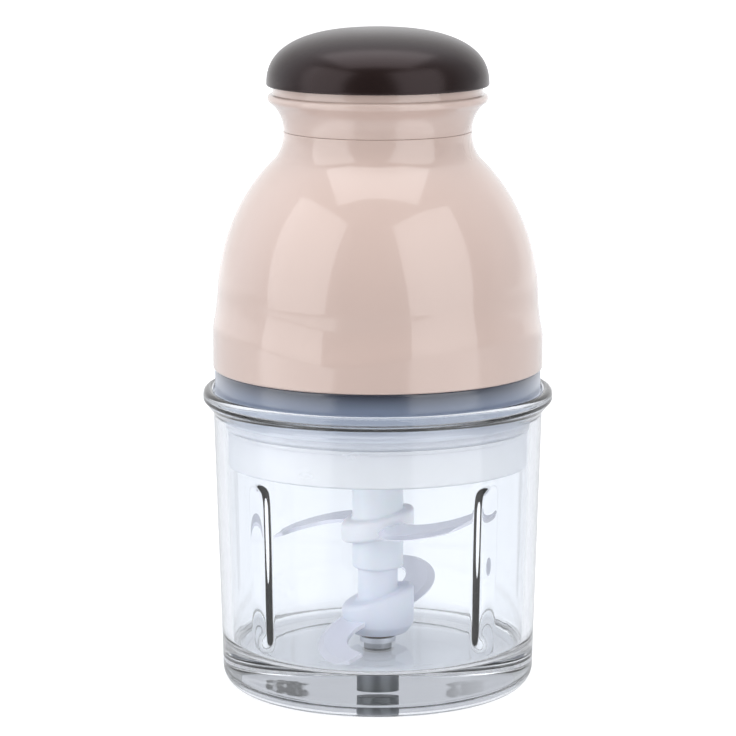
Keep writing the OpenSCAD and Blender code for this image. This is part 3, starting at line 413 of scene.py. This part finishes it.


# Painted shade: the pin's steel is darker towards the bottom, where it stands under the hub and in the
# glass base.
pin_steel, pin_tree, pin_shader = new_finish("pin_steel", Metallic=0.6)
add_group(pin_tree, pin_shader, ground_metal, bump=0.02, distance=0.0002, Along_X=60.0, Along_Y=60.0,
          Along_Z=2200.0, Roughness_Low=0.35, Roughness_High=0.45)
painted_shade_by_height(pin_tree, pin_shader, 1.0, 19.0,
             [screen(96, 100, 104), screen(120, 124, 130), screen(226, 229, 237)])
clear_glass = clear_glass_finish()
frosted_lid, lid_tree, lid_shader = frosted_finish("frosted_lid", (0.2, 0.28), 0.3, Sheen_Weight=1.0,
                                                   Sheen_Roughness=0.5, Sheen_Tint=(0.86, 0.9, 1.0, 1.0),
                                                   Coat_Weight=1.0, Coat_Roughness=0.16, Coat_IOR=1.6)
# Painted shade: the lid runs from near white on the skirt to dark grey-blue on the flange, the shade under
# the housing.
painted_shade_by_height(lid_tree, lid_shader, 88.0, 116.0,
             [screen(252, 253, 255), screen(250, 251, 255), screen(226, 232, 244), screen(122, 137, 164),
              screen(36, 46, 68)])
silicone, seal_tree, seal_shader = frosted_finish("silicone", (0.45, 0.55), 0.2)
two_tones(seal_tree, seal_shader, screen(240, 243, 252), screen(246, 248, 254))
# Painted shade: the white of the stem and the sleeve darkens towards the bottom of the hub, near the floor
# of the bowl.
stem_white, stem_tree, stem_shader = frosted_finish("stem_white", (0.3, 0.4), 0.0, Subsurface_Weight=0.2,
                                                    Subsurface_Scale=0.004)
painted_shade_by_height(stem_tree, stem_shader, 16.0, 64.0,
             [screen(196, 202, 218), screen(228, 232, 243), screen(238, 241, 250), screen(248, 249, 254)])
print("clear and frosted ready")

# %% [markdown]
# ## The glass bowl
# The bowl is pressed glass with a thick base, a rolled lip and four upright ribs inside the wall, which
# stop the food from going round with the blades. One closed skin holds both sides of the glass: it runs
# from the middle of the foot up the outside, over the lip and down the inside to the middle of the floor.
# The ribs bend only the inner side, so each one is a lens, and the rings have more points near them.

# %% Bowl sizes
BOWL_H, FOOT_R, MOUTH_R, WALL, FLOOR = 108.6, 56.0, 58.8, 4.0, 15.5
LIP_OUT, LIP_HALF, SEAT = 3.7, 2.9, 105.0
BASE_ROUND, LIP_LOW = 7.5, 100.4
PUNT_R, PUNT_H = 40.0, 0.8
RIB_TURN, RIB_TOP, RIB_RUN, RIB_FOOT = np.radians(-47.6), 79.8, 9.0, 19.0
RIB_H, RIB_MORE, RIB_HALF = 1.7, 0.75, 5.8


def wall_r(z):
    """Outer radius of the slightly tapered wall at height z."""
    return FOOT_R + (MOUTH_R - FOOT_R) * (z - BASE_ROUND) / (LIP_LOW - BASE_ROUND)


def ribbed_angles():
    """Angles round the bowl, close together within 11 degrees of each rib and wider apart between."""
    near = np.radians(np.linspace(-11, 11, 62))
    far = np.radians(np.linspace(11, 79, 36)[1:-1])
    quarter = np.concatenate([near, far])
    return (RIB_TURN + quarter[None, :] + np.pi / 2 * np.arange(4)[:, None]).ravel()


angles = ribbed_angles()
from_rib = (angles - RIB_TURN + np.pi / 4) % (np.pi / 2) - np.pi / 4
print("points round the bowl:", len(angles))

# %% Bowl profile and skin
def bowl_profile():
    """Section of the bowl as (r, z), and for each point 1 on the inner wall and the floor, else 0."""
    foot = rounded([(0, PUNT_H, 0), (PUNT_R, PUNT_H, 0.5), (PUNT_R + 1.5, 0, 0.5), (FOOT_R, 0, BASE_ROUND),
                    (wall_r(9.5), 9.5, 0)], 2.0, 10, False)
    z = np.linspace(10.5, 96.5, 64)
    outer = np.stack([wall_r(z), z], -1)
    lip_r = MOUTH_R + LIP_OUT
    lip = rounded([(wall_r(97), 97.0, 0), (MOUTH_R, LIP_LOW, 3.0), (lip_r, BOWL_H - LIP_HALF - 1.0, 1.6),
                   (lip_r, BOWL_H, 1.9), (lip_r - WALL, BOWL_H, 1.9), (lip_r - WALL, SEAT, 0.6),
                   (wall_r(SEAT) - WALL, SEAT, 1.2), (wall_r(101) - WALL, 101.0, 0)], 0.8, 8, False)
    z = np.linspace(99.5, FLOOR + 5.2, 64)
    inner = np.stack([wall_r(z) - WALL, z], -1)
    low = FLOOR + 4.6
    floor = rounded([(wall_r(low) - WALL, low, 0), (wall_r(FLOOR) - WALL, FLOOR, 4.0), (0, FLOOR, 0)],
                    3.0, 8, False)
    parts = [foot, outer, lip, inner, floor]
    inside = np.concatenate([np.full(len(p), s) for p, s in zip(parts, (0, 0, 0, 1, 1))])
    return np.vstack(parts), inside


def ribbed(profile, inside):
    """The turned profile with the ribs: inside, r loses H cos^2(pi/2 * across/half) sqrt(1 - head^2).
    H grows a little on the way up, runs out softly at the foot, and head makes the upper end blunt."""
    r, z = profile[:, 0, None], profile[:, 1, None]
    across = np.clip(np.abs(r * from_rib[None, :]) / RIB_HALF, 0, 1)
    tall = (RIB_H + RIB_MORE * smooth(z, 30.0, 62.0)) * smooth(z, RIB_FOOT, RIB_FOOT + 8.0)
    head = np.clip((z - RIB_TOP + RIB_RUN) / RIB_RUN, 0, 1)
    rib = tall * np.cos(np.pi / 2 * across) ** 2 * np.sqrt(1 - head ** 2)
    r = r - rib * smooth(r, 42.0, 50.0) * inside[:, None]
    return np.stack([r * np.cos(angles), r * np.sin(angles), z + 0 * angles], -1)


bowl = skin("bowl_clear_glass", ribbed(*bowl_profile()), poles=(True, True))
wear(bowl, clear_glass)
bowl.visible_shadow = False
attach(bowl, "bowl")
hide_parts("glass_bowl")

# %% [markdown]
# ## The motor housing
# The housing is one glossy moulding: a raised skirt with a wavy ledge, a tall dome, and a waist under the
# collar. Its rings follow the wave, so the crease of the ledge runs along a ring and stays crisp. Below the
# wave the rings are squeezed between the edge and the crease, and above it they relax into level circles.
# A round hole cuts across the rings, so the one at the back for the cord's gland is bored with a boolean.

# %% Housing
EDGE, DOME_R, DOME_Z, DOME_H = 116.0, 57.3, 139.9, 65.8
CREASE, NECK_R, SEAM, SKIRT_R = 190.8, 33.5, 200.5, 58.9
INNER_R, INNER_H, BORE_R = 54.7, 63.2, 30.9
LEDGE_H, LEDGE_FALL = 12.0, 1.6
WAVE_LOW, WAVE_H, WAVE_TURN, WAVE_SOFT, WAVE_POWER = 9.6, 5.9, np.radians(-103), 0.015, 0.4
SKIRT_LOW = EDGE + 2.5
GLAND_Z, GLAND_HOLE, GLAND_Y, DRILL = 147.0, 5.4, 55.0, 16.0


def wave_edge(angle):
    """Height of the skirt's crease: scallops with narrow dips, pow(sin^2, 0.4), three to a turn."""
    s = np.sin((angle - WAVE_TURN) * 1.5) ** 2
    low = WAVE_SOFT ** WAVE_POWER
    return EDGE + WAVE_LOW + WAVE_H * ((s + WAVE_SOFT) ** WAVE_POWER - low) / (1 - low)


def dome_at(z):
    """Radius of the dome: an upright wall, then a half ellipse above DOME_Z."""
    return DOME_R * np.sqrt(np.clip(1 - np.clip((z - DOME_Z) / DOME_H, 0, 1) ** 2, 0, 1))


def flare(r0, z0, r1, z1, n):
    """Points on the arc that leaves (r0, z0) upright and ends at (r1, z1)."""
    dr, dz = r1 - r0, z1 - z0
    rho = (dr * dr + dz * dz) / (2 * dr)
    t = np.linspace(0, np.arcsin(dz / rho), n)
    return np.stack([r0 + rho * (1 - np.cos(t)), z0 + rho * np.sin(t)], -1)


def level_rings(profile, around):
    """Rings of (r, z) that are the same all round, for a profile of (r, z)."""
    return np.repeat(profile[:, None, :], around, 1)


def housing_grid(around=360):
    """Rings from the inner wall at the edge, up the skirt, ledge, dome and waist, and back inside.
    On the ledge, r = dome(z) + (skirt - dome) (1 - t)^1.6, where t runs from 0 to 1 above the crease."""
    a = np.linspace(0, 2 * np.pi, around, endpoint=False)
    crease = wave_edge(a)[None, :]
    edge = rounded([(INNER_R, EDGE + 4, 0), (INNER_R, EDGE, 0.4), (SKIRT_R, EDGE, 0.9),
                    (SKIRT_R, SKIRT_LOW, 0)], 0.9, 6, False)
    rings = [level_rings(edge, around)]
    t = np.linspace(0, 1, 9)[1:, None]
    rings.append(np.stack([SKIRT_R + 0 * crease * t, SKIRT_LOW + (crease - 0.5 - SKIRT_LOW) * t], -1))
    t = np.linspace(0, 1, 12)[1:, None]
    z = crease + LEDGE_H * t
    rings.append(np.stack([dome_at(z) + (SKIRT_R - DOME_R) * (1 - t) ** LEDGE_FALL, z], -1))
    t = np.linspace(0, 1, 80)[1:, None]
    z = crease + LEDGE_H + (CREASE - crease - LEDGE_H) * t
    rings.append(np.stack([dome_at(z), z], -1))
    waist = flare(NECK_R, SEAM - 1.5, dome_at(CREASE), CREASE, 12)[::-1][1:]
    mouth = rounded([(NECK_R, SEAM - 1.2, 0), (NECK_R, SEAM - 0.05, 0.3), (BORE_R + 0.1, SEAM - 0.05, 0),
                     (BORE_R, 192.1, 0)], 1.0, 5, False)
    z = np.linspace(191.5, DOME_Z, 30)
    inside = np.stack([INNER_R * np.sqrt(1 - ((z - DOME_Z) / INNER_H) ** 2), z], -1)
    rings.append(level_rings(np.vstack([waist, mouth, inside]), around))
    rz = np.vstack(rings)
    return np.stack([rz[..., 0] * np.cos(a), rz[..., 0] * np.sin(a), rz[..., 1]], -1)


def bored(piece, centre, radius, length):
    """Takes a round hole along Y out of a piece, with an exact boolean that is applied to the mesh."""
    cutter = bpy.data.objects.new("cutter", bpy.data.meshes.new("cutter"))
    drill = bmesh.new()
    turn = Matrix.Translation(Vector(centre) * MM) @ Matrix.Rotation(np.pi / 2, 4, "X")
    bmesh.ops.create_cone(drill, cap_ends=True, segments=48, radius1=radius * MM, radius2=radius * MM,
                          depth=length * MM, matrix=turn)
    drill.to_mesh(cutter.data)
    drill.free()
    bpy.context.scene.collection.objects.link(cutter)
    cut = piece.modifiers.new("hole", "BOOLEAN")
    cut.operation, cut.solver, cut.object = "DIFFERENCE", "EXACT", cutter
    mesh = bpy.data.meshes.new_from_object(piece.evaluated_get(bpy.context.evaluated_depsgraph_get()))
    piece.modifiers.clear()
    piece.data = mesh
    bpy.data.objects.remove(cutter)
    print(piece.name, "bored,", len(mesh.polygons), "faces")


housing = skin("housing_beige", housing_grid(), closed=True)
bored(housing, (0.0, GLAND_Y, GLAND_Z), GLAND_HOLE, DRILL)
wear(housing, beige_gloss)
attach(housing, "head")
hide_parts("motor_shell")

# %% [markdown]
# ## The collar and the button
# The collar flares out like the mouth of a vase and ends in a rounded lip. A thin seam shows where it sits
# on the housing. The cap is a squarish dome, drawn as a superellipse, and leaves a gap as high as its
# travel.

# %% Collar
FLARE_R, FLARE_Z, LIP_MID_R, LIP_MID_Z, LIP_ROUND = 38.3, 210.6, 37.45, 212.0, 1.6
SPIGOT_R, SPIGOT_IN, SPIGOT_LOW = 30.75, 28.6, 196.5
UPSTAND_R, UPSTAND_IN, UPSTAND_TOP = 37.2, 35.2, 217.4
DECK, DECK_LOW, DECK_HOLE = 206.5, 204.0, 5.0


def collar_profile():
    """Section of the collar: spigot, flare, lip, upstand, and the deck inside."""
    outside = flare(NECK_R, SEAM + 0.5, FLARE_R, FLARE_Z, 16)
    t = np.radians(np.linspace(-46, 90, 12))
    lip = np.stack([LIP_MID_R + LIP_ROUND * np.cos(t), LIP_MID_Z + LIP_ROUND * np.sin(t)], -1)
    foot = rounded([(SPIGOT_IN, SPIGOT_LOW, 0), (SPIGOT_R, SPIGOT_LOW, 0.3), (SPIGOT_R, SEAM + 0.02, 0),
                    (NECK_R, SEAM + 0.02, 0.3), (NECK_R, SEAM + 0.45, 0)], 1.0, 5, False)
    inside = rounded([(37.3, 213.6, 0), (UPSTAND_R, 213.7, 0), (UPSTAND_R, UPSTAND_TOP, 0.4),
                      (UPSTAND_IN, UPSTAND_TOP, 0.4), (UPSTAND_IN, 211.6, 0), (SPIGOT_R, 208.1, 0),
                      (SPIGOT_R, DECK, 0.3), (DECK_HOLE, DECK, 0.3), (DECK_HOLE, DECK_LOW, 0.3),
                      (SPIGOT_IN, DECK_LOW, 0.3)], 1.5, 4, False)
    return np.vstack([foot, outside, lip, inside])


collar = skin("collar_beige", turned(collar_profile(), 256), closed=True)
wear(collar, beige_gloss)
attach(collar, "head")
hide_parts("neck_collar")

# %% Cap
CAP_LOW, CAP_H, CAP_R, CAP_IN, CAP_POWER = 216.4, 20.3, 39.4, 37.7, 2.5
PLATE_R, PLATE_LOW, PLATE_TOP = 34.0, 220.0, 222.4


def cap_profile():
    """Section of the cap: superellipse (r/R)^2.5 + (z/H)^2.5 = 1 outside, a stepped hollow inside."""
    t = np.linspace(0.03, 1, 60) * np.pi / 2
    bend = 2.0 / CAP_POWER
    outside = np.stack([CAP_R * np.cos(t) ** bend, CAP_LOW + CAP_H * np.sin(t) ** bend], -1)
    inside = rounded([(0, 234.5, 0), (26, 232.0, 4), (31.0, 223.0, 0), (PLATE_R, PLATE_TOP, 0),
                      (PLATE_R, PLATE_LOW, 0), (CAP_IN, 219.9, 0.3), (CAP_IN, CAP_LOW, 0.3),
                      (CAP_R, CAP_LOW, 0.7), (CAP_R, CAP_LOW + 1.1, 0)], 1.5, 5, False)
    return np.vstack([inside, outside[outside[:, 1] > CAP_LOW + 1.3]])


cap = skin("cap_brown", turned(cap_profile(), 256), poles=(True, True))
wear(cap, brown_satin)
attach(cap, "button")
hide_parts("button_cap")

# %% [markdown]
# ## The inner lid
# The lid is a frosted moulding that sits in the mouth of the glass and reaches down into it. Its flange
# shows as a grey band under the housing, a shade that is painted into its colour, a soft white ring seals
# its neck, and the deep skirt hides the top of the spindle behind a milky veil.

# %% Lid and seal
LID_LOW, LID_SKIRT_R, LID_SKIRT_IN = 82.1, 53.5, 51.3
LID_NECK_R, LID_NECK_LOW, GROOVE_R, GROOVE_LOW, GROOVE_TOP = 53.92, 94.2, 52.42, 95.6, 98.4
FLANGE_R, FLANGE_LOW, FLANGE_TOP = 58.15, 105.05, 115.95
RING_R, RING_IN, RING_TOP = 54.35, 52.15, 118.6
WEB_LOW, WEB_TOP = 100.0, 102.2
LID_HUB_R, LID_HUB_IN, LID_HUB_LOW, LID_HUB_TOP = 12.2, 9.7, 90.0, 104.0
SEAL_IN, SEAL_MID, SEAL_OUT, SEAL_GAP = 52.45, 53.7, 54.58, 0.05


def lid_profile():
    """Section of the lid: skirt, seal groove, neck, flange, centring ring, web and hub."""
    outside = [(52.9, LID_LOW, 0.4), (LID_SKIRT_R, 82.7, 0.4), (LID_SKIRT_R, LID_NECK_LOW, 0.2),
               (LID_NECK_R, LID_NECK_LOW, 0.2), (LID_NECK_R, GROOVE_LOW, 0.2), (GROOVE_R, GROOVE_LOW, 0.2),
               (GROOVE_R, GROOVE_TOP, 0.2), (LID_NECK_R, GROOVE_TOP, 0.2), (LID_NECK_R, FLANGE_LOW, 0.4),
               (FLANGE_R, FLANGE_LOW, 0.6), (FLANGE_R, FLANGE_TOP, 0.6), (RING_R, FLANGE_TOP, 0.2),
               (RING_R, RING_TOP, 0.4)]
    inside = [(RING_IN, RING_TOP, 0.4), (RING_IN, WEB_TOP, 1.0), (LID_HUB_R, WEB_TOP, 0.6),
              (LID_HUB_R, LID_HUB_TOP, 0.4), (LID_HUB_IN, LID_HUB_TOP, 0.4), (LID_HUB_IN, LID_HUB_LOW, 0.4),
              (LID_HUB_R, LID_HUB_LOW, 0.4), (LID_HUB_R, WEB_LOW, 0.8), (LID_SKIRT_IN, WEB_LOW, 1.2),
              (LID_SKIRT_IN, LID_LOW, 0.4)]
    return rounded(outside + inside, 2.0, 4)


def seal_profile():
    """Section of the seal: a flat inside in the groove, and a blunt nose outside."""
    low, high = GROOVE_LOW + SEAL_GAP, GROOVE_TOP - SEAL_GAP
    return rounded([(SEAL_IN, low, 0.1), (SEAL_MID, low, 0.3), (SEAL_OUT, 96.6, 0.4), (SEAL_OUT, 97.4, 0.4),
                    (SEAL_MID, high, 0.3), (SEAL_IN, high, 0.1)], 1.0, 4)


lid = skin("lid_frosted", turned(lid_profile(), 256), closed=True)
wear(lid, frosted_lid)
lid.visible_shadow = False
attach(lid, "lid")
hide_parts("bowl_lid")

seal = skin("seal_ring", turned(seal_profile()), closed=True)
wear(seal, silicone)
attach(seal, "lid")
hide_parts("lid_seal")

# %% [markdown]
# ## The blade stem
# The stem and the sleeve are one white plastic with soft edges, and the steel is moulded into them. The
# hub's top and the sleeve's collar are slanted, because the blades are. A slant is a shear: each ring of a
# turned piece is lifted in proportion to x, with a weight that is one at the slanted edge and fades away.

# %% Stem and sleeve
HUB_R, STEM_R, SLEEVE_R, STEM_TOP = 13.1, 7.2, 9.2, 99.6
HUB_LOW, HUB_TOP, HUB_SLANT = 18.9, 32.8, 17.0
COLLAR_Z, COLLAR_T, COLLAR_SLANT = 58.7, 7.5, 12.2
PIN_BORE, PIN_TOP, BUSH_R, BUSH_TOP, SLEEVE_LOW = 4.6, 62.6, 5.62, 32.4, 42.8


def sheared(profile, heights, weights, degrees):
    """The turned profile with z + w(z) x tan(slant), where w runs through weights at heights.
    Inside the stem's radius w falls to 0, so the bore stays as it is."""
    grid = turned(profile, 128)
    weight = np.interp(profile[:, 1], heights, weights) * smooth(profile[:, 0], STEM_R - 1.0, STEM_R)
    grid[..., 2] += weight[:, None] * grid[..., 0] * np.tan(np.radians(degrees))
    return grid


stem_line = rounded([(0, PIN_TOP, 0), (PIN_BORE, PIN_TOP, 0.4), (PIN_BORE, BUSH_TOP, 0.2),
                     (BUSH_R, BUSH_TOP, 0.2), (BUSH_R, HUB_LOW, 0.3), (HUB_R - 2.6, HUB_LOW, 1.8),
                     (HUB_R, HUB_LOW + 3.4, 2.2), (HUB_R, HUB_TOP, 2.0), (STEM_R, HUB_TOP, 1.2),
                     (STEM_R, STEM_TOP, 0.5), (0, STEM_TOP, 0)], 1.0, 8, False)
hub_heights = [HUB_LOW + 3, HUB_TOP - 2, HUB_TOP + 1, HUB_TOP + 12]
stem = skin("stem_white", sheared(stem_line, hub_heights, [0, 1, 1, 0], HUB_SLANT), poles=(True, True))
low, high = COLLAR_Z - COLLAR_T / 2, COLLAR_Z + COLLAR_T / 2
sleeve_in = STEM_R + 0.05
sleeve_line = rounded([(sleeve_in, SLEEVE_LOW, 0.3), (SLEEVE_R, SLEEVE_LOW, 1.2), (SLEEVE_R, low, 0.8),
                       (HUB_R, low, 1.6), (HUB_R, high, 1.6), (SLEEVE_R, high, 0.8),
                       (SLEEVE_R, STEM_TOP, 0.5), (sleeve_in, STEM_TOP, 0.2)], 1.0, 8)
collar_heights = [low - 10, low - 1, high + 1, high + 12]
sleeve = skin("sleeve_white", sheared(sleeve_line, collar_heights, [0, 1, 1, 0], COLLAR_SLANT), closed=True)
for piece, node in ((stem, "blade_stem"), (sleeve, "blade_sleeve")):
    wear(piece, stem_white)
    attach(piece, "blade_unit")
    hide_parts(node)

# %% [markdown]
# ## Pieces that keep their CAD shape
# Turned and stamped parts are right as they come from the CAD model, so they only get a finish. Most of
# them are inside the housing and show only when it is taken apart.

# %% Finishes of the CAD nodes
node_finish = {
    white_plastic: ["drive_socket", "button_carrier"],
    blade_steel: ["upper_blade", "lower_blade"],
    pin_steel: ["spindle_pin"],
    turned_steel: ["motor_shaft"],
    plated_steel: ["drive_hex", "base_screws", "mount_screws", "stator_bolts", "cradle_screws",
                   "planet_pins", "button_spring"],
    hobbed_steel: ["sun_gear", "planet_carrier"],
    sintered_bronze: ["stem_bush", "output_bush", "lower_bush", "upper_bush"],
    stamped_brass: ["brush_holders"],
    wound_copper: ["field_coils", "armature_winding", "commutator"],
    lamination: ["stator_core", "armature_core"],
    cast_alloy: ["motor_bracket"],
    grey_plastic: ["base_plate", "gear_cover", "switch_cradle"],
    black_plastic: ["cooling_fan", "switch_body"],
    brown_resin: ["end_frame"],
    red_plastic: ["switch_plunger"],
    nylon: ["ring_gear", "planet_gear_1", "planet_gear_2", "planet_gear_3"],
    soft_rubber: ["cord_gland", "motor_mounts"],
    pressed_carbon: ["carbon_brushes"],
}
for material, names in node_finish.items():
    for name in names:
        wear(nodes[name], material)
print("CAD nodes with a finish:", sum(len(v) for v in node_finish.values()))

# %% [markdown]
# ## The studio
# The photograph is a bright product shot: white all round, two tall soft boxes in front on the left and
# right with a darker gap between them where the camera stands, and a soft light overhead. Glass is drawn by
# what it bends into view, so the room behind the camera stays darker than the backdrop. The backdrop asks
# which kind of ray has hit it: the camera sees white, a mirrored ray also sees two bright strips on the
# floor under the boxes, and a ray through glass sees a bluish wall with two dark, leafy patches.

# %% Backdrop
def backdrop():
    """A sweep, in metres: a floor that turns up into a wall, one profile carried sideways."""
    bend = rounded([(-3.0, 0, 0), (5.0, 0, 1.5), (5.0, 5.0, 0)], 0.5, 12, False)
    x = np.linspace(-6, 6, 2)
    points = np.stack([x[None, :] + 0 * bend[:, :1], bend[:, :1] + 0 * x, bend[:, 1:] + 0 * x], -1)
    rows, cols = points.shape[:2]
    index = np.arange(rows * cols).reshape(rows, cols)
    quads = np.stack([index[:-1, :-1], index[:-1, 1:], index[1:, 1:], index[1:, :-1]], -1).reshape(-1, 4)
    mesh = bpy.data.meshes.new("backdrop")
    mesh.from_pydata(points.reshape(-1, 3).tolist(), [], quads.tolist())
    mesh.shade_smooth()
    piece = bpy.data.objects.new("backdrop", mesh)
    bpy.context.scene.collection.objects.link(piece)
    return piece


def sum_of_products(tree, *pairs):
    """A socket that holds a*b + c*d + ... for pairs of sockets or numbers."""
    total = None
    for pair in pairs:
        node = tree.nodes.new("ShaderNodeMath")
        node.operation = "MULTIPLY_ADD"
        node.inputs[2].default_value = 0.0
        for place, value in enumerate((*pair, total)):
            if isinstance(value, (int, float)):
                node.inputs[place].default_value = value
            elif value is not None:
                tree.links.new(value, node.inputs[place])
        total = node.outputs[0]
    return total


def fade(tree, value, low, high):
    """A socket that runs smoothly from 0 to 1 while value runs from low to high."""
    node = tree.nodes.new("ShaderNodeMapRange")
    node.interpolation_type = "SMOOTHSTEP"
    node.inputs["From Min"].default_value = low
    node.inputs["From Max"].default_value = high
    tree.links.new(value, node.inputs["Value"])
    return node.outputs["Result"]


def coordinates(tree, kind):
    """A coordinate of this kind, and its X, Y and Z as sockets of their own."""
    place = tree.nodes.new("ShaderNodeTexCoord").outputs[kind]
    axes = tree.nodes.new("ShaderNodeSeparateXYZ")
    tree.links.new(place, axes.inputs["Vector"])
    return place, axes.outputs["X"], axes.outputs["Y"], axes.outputs["Z"]


def floor_strips(tree, x, y):
    """1 in two strips of the floor in front, painted light under the boxes, fading out 1.2 to 1.4 m away; 0
    elsewhere.
    Their sides are the lines x + 0.344 y = 0, x + 2.75 y = 0.1 and -x + 0.51 y = 0."""
    right = fade(tree, sum_of_products(tree, (x, 1.0), (y, 0.344)), 0.0, 0.05)
    right_end = fade(tree, sum_of_products(tree, (x, 1.0), (y, 2.75)), 0.1, 0.0)
    left = fade(tree, sum_of_products(tree, (x, -1.0), (y, 0.51)), 0.0, 0.05)
    strips = sum_of_products(tree, (right, right_end), (left, 1.0))
    reach = sum_of_products(tree, (x, x), (y, y))
    front = sum_of_products(tree, (fade(tree, y, 0.0, -0.1), fade(tree, reach, 2.1, 1.5)))
    return sum_of_products(tree, (strips, front))


def leafy_wall(tree, place, x, y, z):
    """1 on the far wall, with two dark patches whose outline is 1.25 aside^2 + 6.7 above^2 + noise.
    The left patch is paler, because the dark fades out towards the left."""
    across = tree.nodes.new("ShaderNodeMath")
    across.operation = "ABSOLUTE"
    tree.links.new(x, across.inputs[0])
    aside = sum_of_products(tree, (across.outputs[0], 1.0), (-2.5, 1.0))
    above = sum_of_products(tree, (z, 1.0), (aside, -0.25), (-1.65, 1.0))
    distance = sum_of_products(tree, (sum_of_products(tree, (aside, aside)), 1.25),
                               (sum_of_products(tree, (above, above)), 6.7))
    leaves = tree.nodes.new("ShaderNodeTexNoise")
    leaves.inputs["Scale"].default_value = 2.6
    leaves.inputs["Detail"].default_value = 2.0
    tree.links.new(place, leaves.inputs["Vector"])
    edge = sum_of_products(tree, (distance, 1.0), (leaves.outputs["Fac"], 3.2), (-1.6, 1.0))
    dark = sum_of_products(tree, (fade(tree, edge, 1.1, 0.3), fade(tree, x, -4.5, 0.5)))
    clear = sum_of_products(tree, (dark, -1.0), (1.0, 1.0))
    return sum_of_products(tree, (clear, fade(tree, y, 2.0, 3.5)))


def backdrop_finish():
    """One emission for each kind of ray: to the camera, mirrored, and through glass.
    A ray through glass counts as glossy too, so a mirrored ray is Is Glossy - Is Transmission."""
    material, tree, shader = new_finish("backdrop_white", Roughness=0.9)
    path = tree.nodes.new("ShaderNodeLightPath").outputs
    glass = path["Is Transmission Ray"]
    place, x, y, z = coordinates(tree, "Object")
    near = fade(tree, y, -0.5, -0.12)
    lit = sum_of_products(tree, (near, 1.0), (path["Is Diffuse Ray"], 1.0))
    two_tones(tree, shader, (0.3, 0.3, 0.3, 1.0), (0.64, 0.64, 0.645, 1.0), lit)
    two_tones(tree, shader, (1.0, 1.0, 1.0, 1.0), (0.95, 0.975, 1.06, 1.0), glass, socket="Emission Color")
    far = fade(tree, y, 0.1, 1.8)
    to_camera = sum_of_products(tree, (far, 0.35), (0.6, 1.0))
    # Painted light: the floor strips are the pools of light of the soft boxes, seen only in mirrored rays.
    mirrored = sum_of_products(tree, (far, 0.7), (near, 0.15), (floor_strips(tree, x, y), 1.1))
    wall = leafy_wall(tree, place, x, y, z)
    through = sum_of_products(tree, (fade(tree, y, 1.0, 0.45), 0.27), (wall, 0.4))
    bounced = sum_of_products(tree, (path["Is Glossy Ray"], 1.0), (glass, -1.0))
    level = sum_of_products(tree, (to_camera, path["Is Camera Ray"]), (mirrored, bounced), (through, glass))
    tree.links.new(level, shader.inputs["Emission Strength"])
    return material


studio = backdrop()
wear(studio, backdrop_finish())
print("backdrop", len(studio.data.vertices), "points")

# %% Lights and world
def soft_box(name, place, aim, width, tall, level):
    """A rectangular light at place that looks at aim.
    level is how bright its face is: power = level * pi * area."""
    data = bpy.data.lights.new(name, "AREA")
    data.shape = "RECTANGLE"
    data.size, data.size_y = width, tall
    data.energy = level * np.pi * width * tall
    lamp = bpy.data.objects.new(name, data)
    to = np.array(aim) - np.array(place)
    lamp.location = place
    tilt, turn = np.arctan2(np.hypot(to[0], to[1]), -to[2]), np.arctan2(to[1], to[0])
    lamp.rotation_euler = (tilt, 0.0, turn - np.pi / 2)
    bpy.context.scene.collection.objects.link(lamp)
    return lamp


def around(azimuth, distance, height):
    """A place round the object: azimuth is degrees from the camera's side, right positive."""
    a = np.radians(azimuth)
    return distance * np.sin(a), -distance * np.cos(a), height


def room():
    """The world: dark behind the camera, bright at the sides and behind, but less so on the right.
    Views through glass get a smaller share of it."""
    world = bpy.data.worlds.new("studio_room")
    world.use_nodes = True
    tree = world.node_tree
    sky = tree.nodes["Background"]
    sky.inputs["Color"].default_value = (0.93, 0.96, 1.0, 1.0)
    path = tree.nodes.new("ShaderNodeLightPath").outputs
    _, x, y, _ = coordinates(tree, "Generated")
    side = sum_of_products(tree, (fade(tree, y, -0.4, 0.3), 0.98), (0.18, 1.0))
    right = sum_of_products(tree, (fade(tree, x, 0.3, 0.9), -0.4), (1.0, 1.0))
    share = sum_of_products(tree, (path["Is Transmission Ray"], -0.56), (1.0, 1.0))
    walls = sum_of_products(tree, (side, right))
    level = sum_of_products(tree, (walls, share), (path["Is Camera Ray"], 1.0))
    tree.links.new(level, sky.inputs["Strength"])
    return world


AIM, BOX_AWAY, BOX_UP = (0.0, 0.0, 0.13), 1.5, 0.64
lamps = [soft_box("left_box", around(-60, BOX_AWAY, BOX_UP), AIM, 1.45, 1.9, 1.62),
         soft_box("right_box", around(46, BOX_AWAY, BOX_UP), AIM, 1.5, 1.9, 1.6),
         soft_box("top_box", (0.0, -0.06, 1.4), (0.0, -0.0601, 0.0), 1.35, 1.15, 1.9)]
bpy.context.scene.world = room()
bpy.context.scene.view_settings.view_transform = "Standard"
print("lamps:", [lamp.name for lamp in lamps])
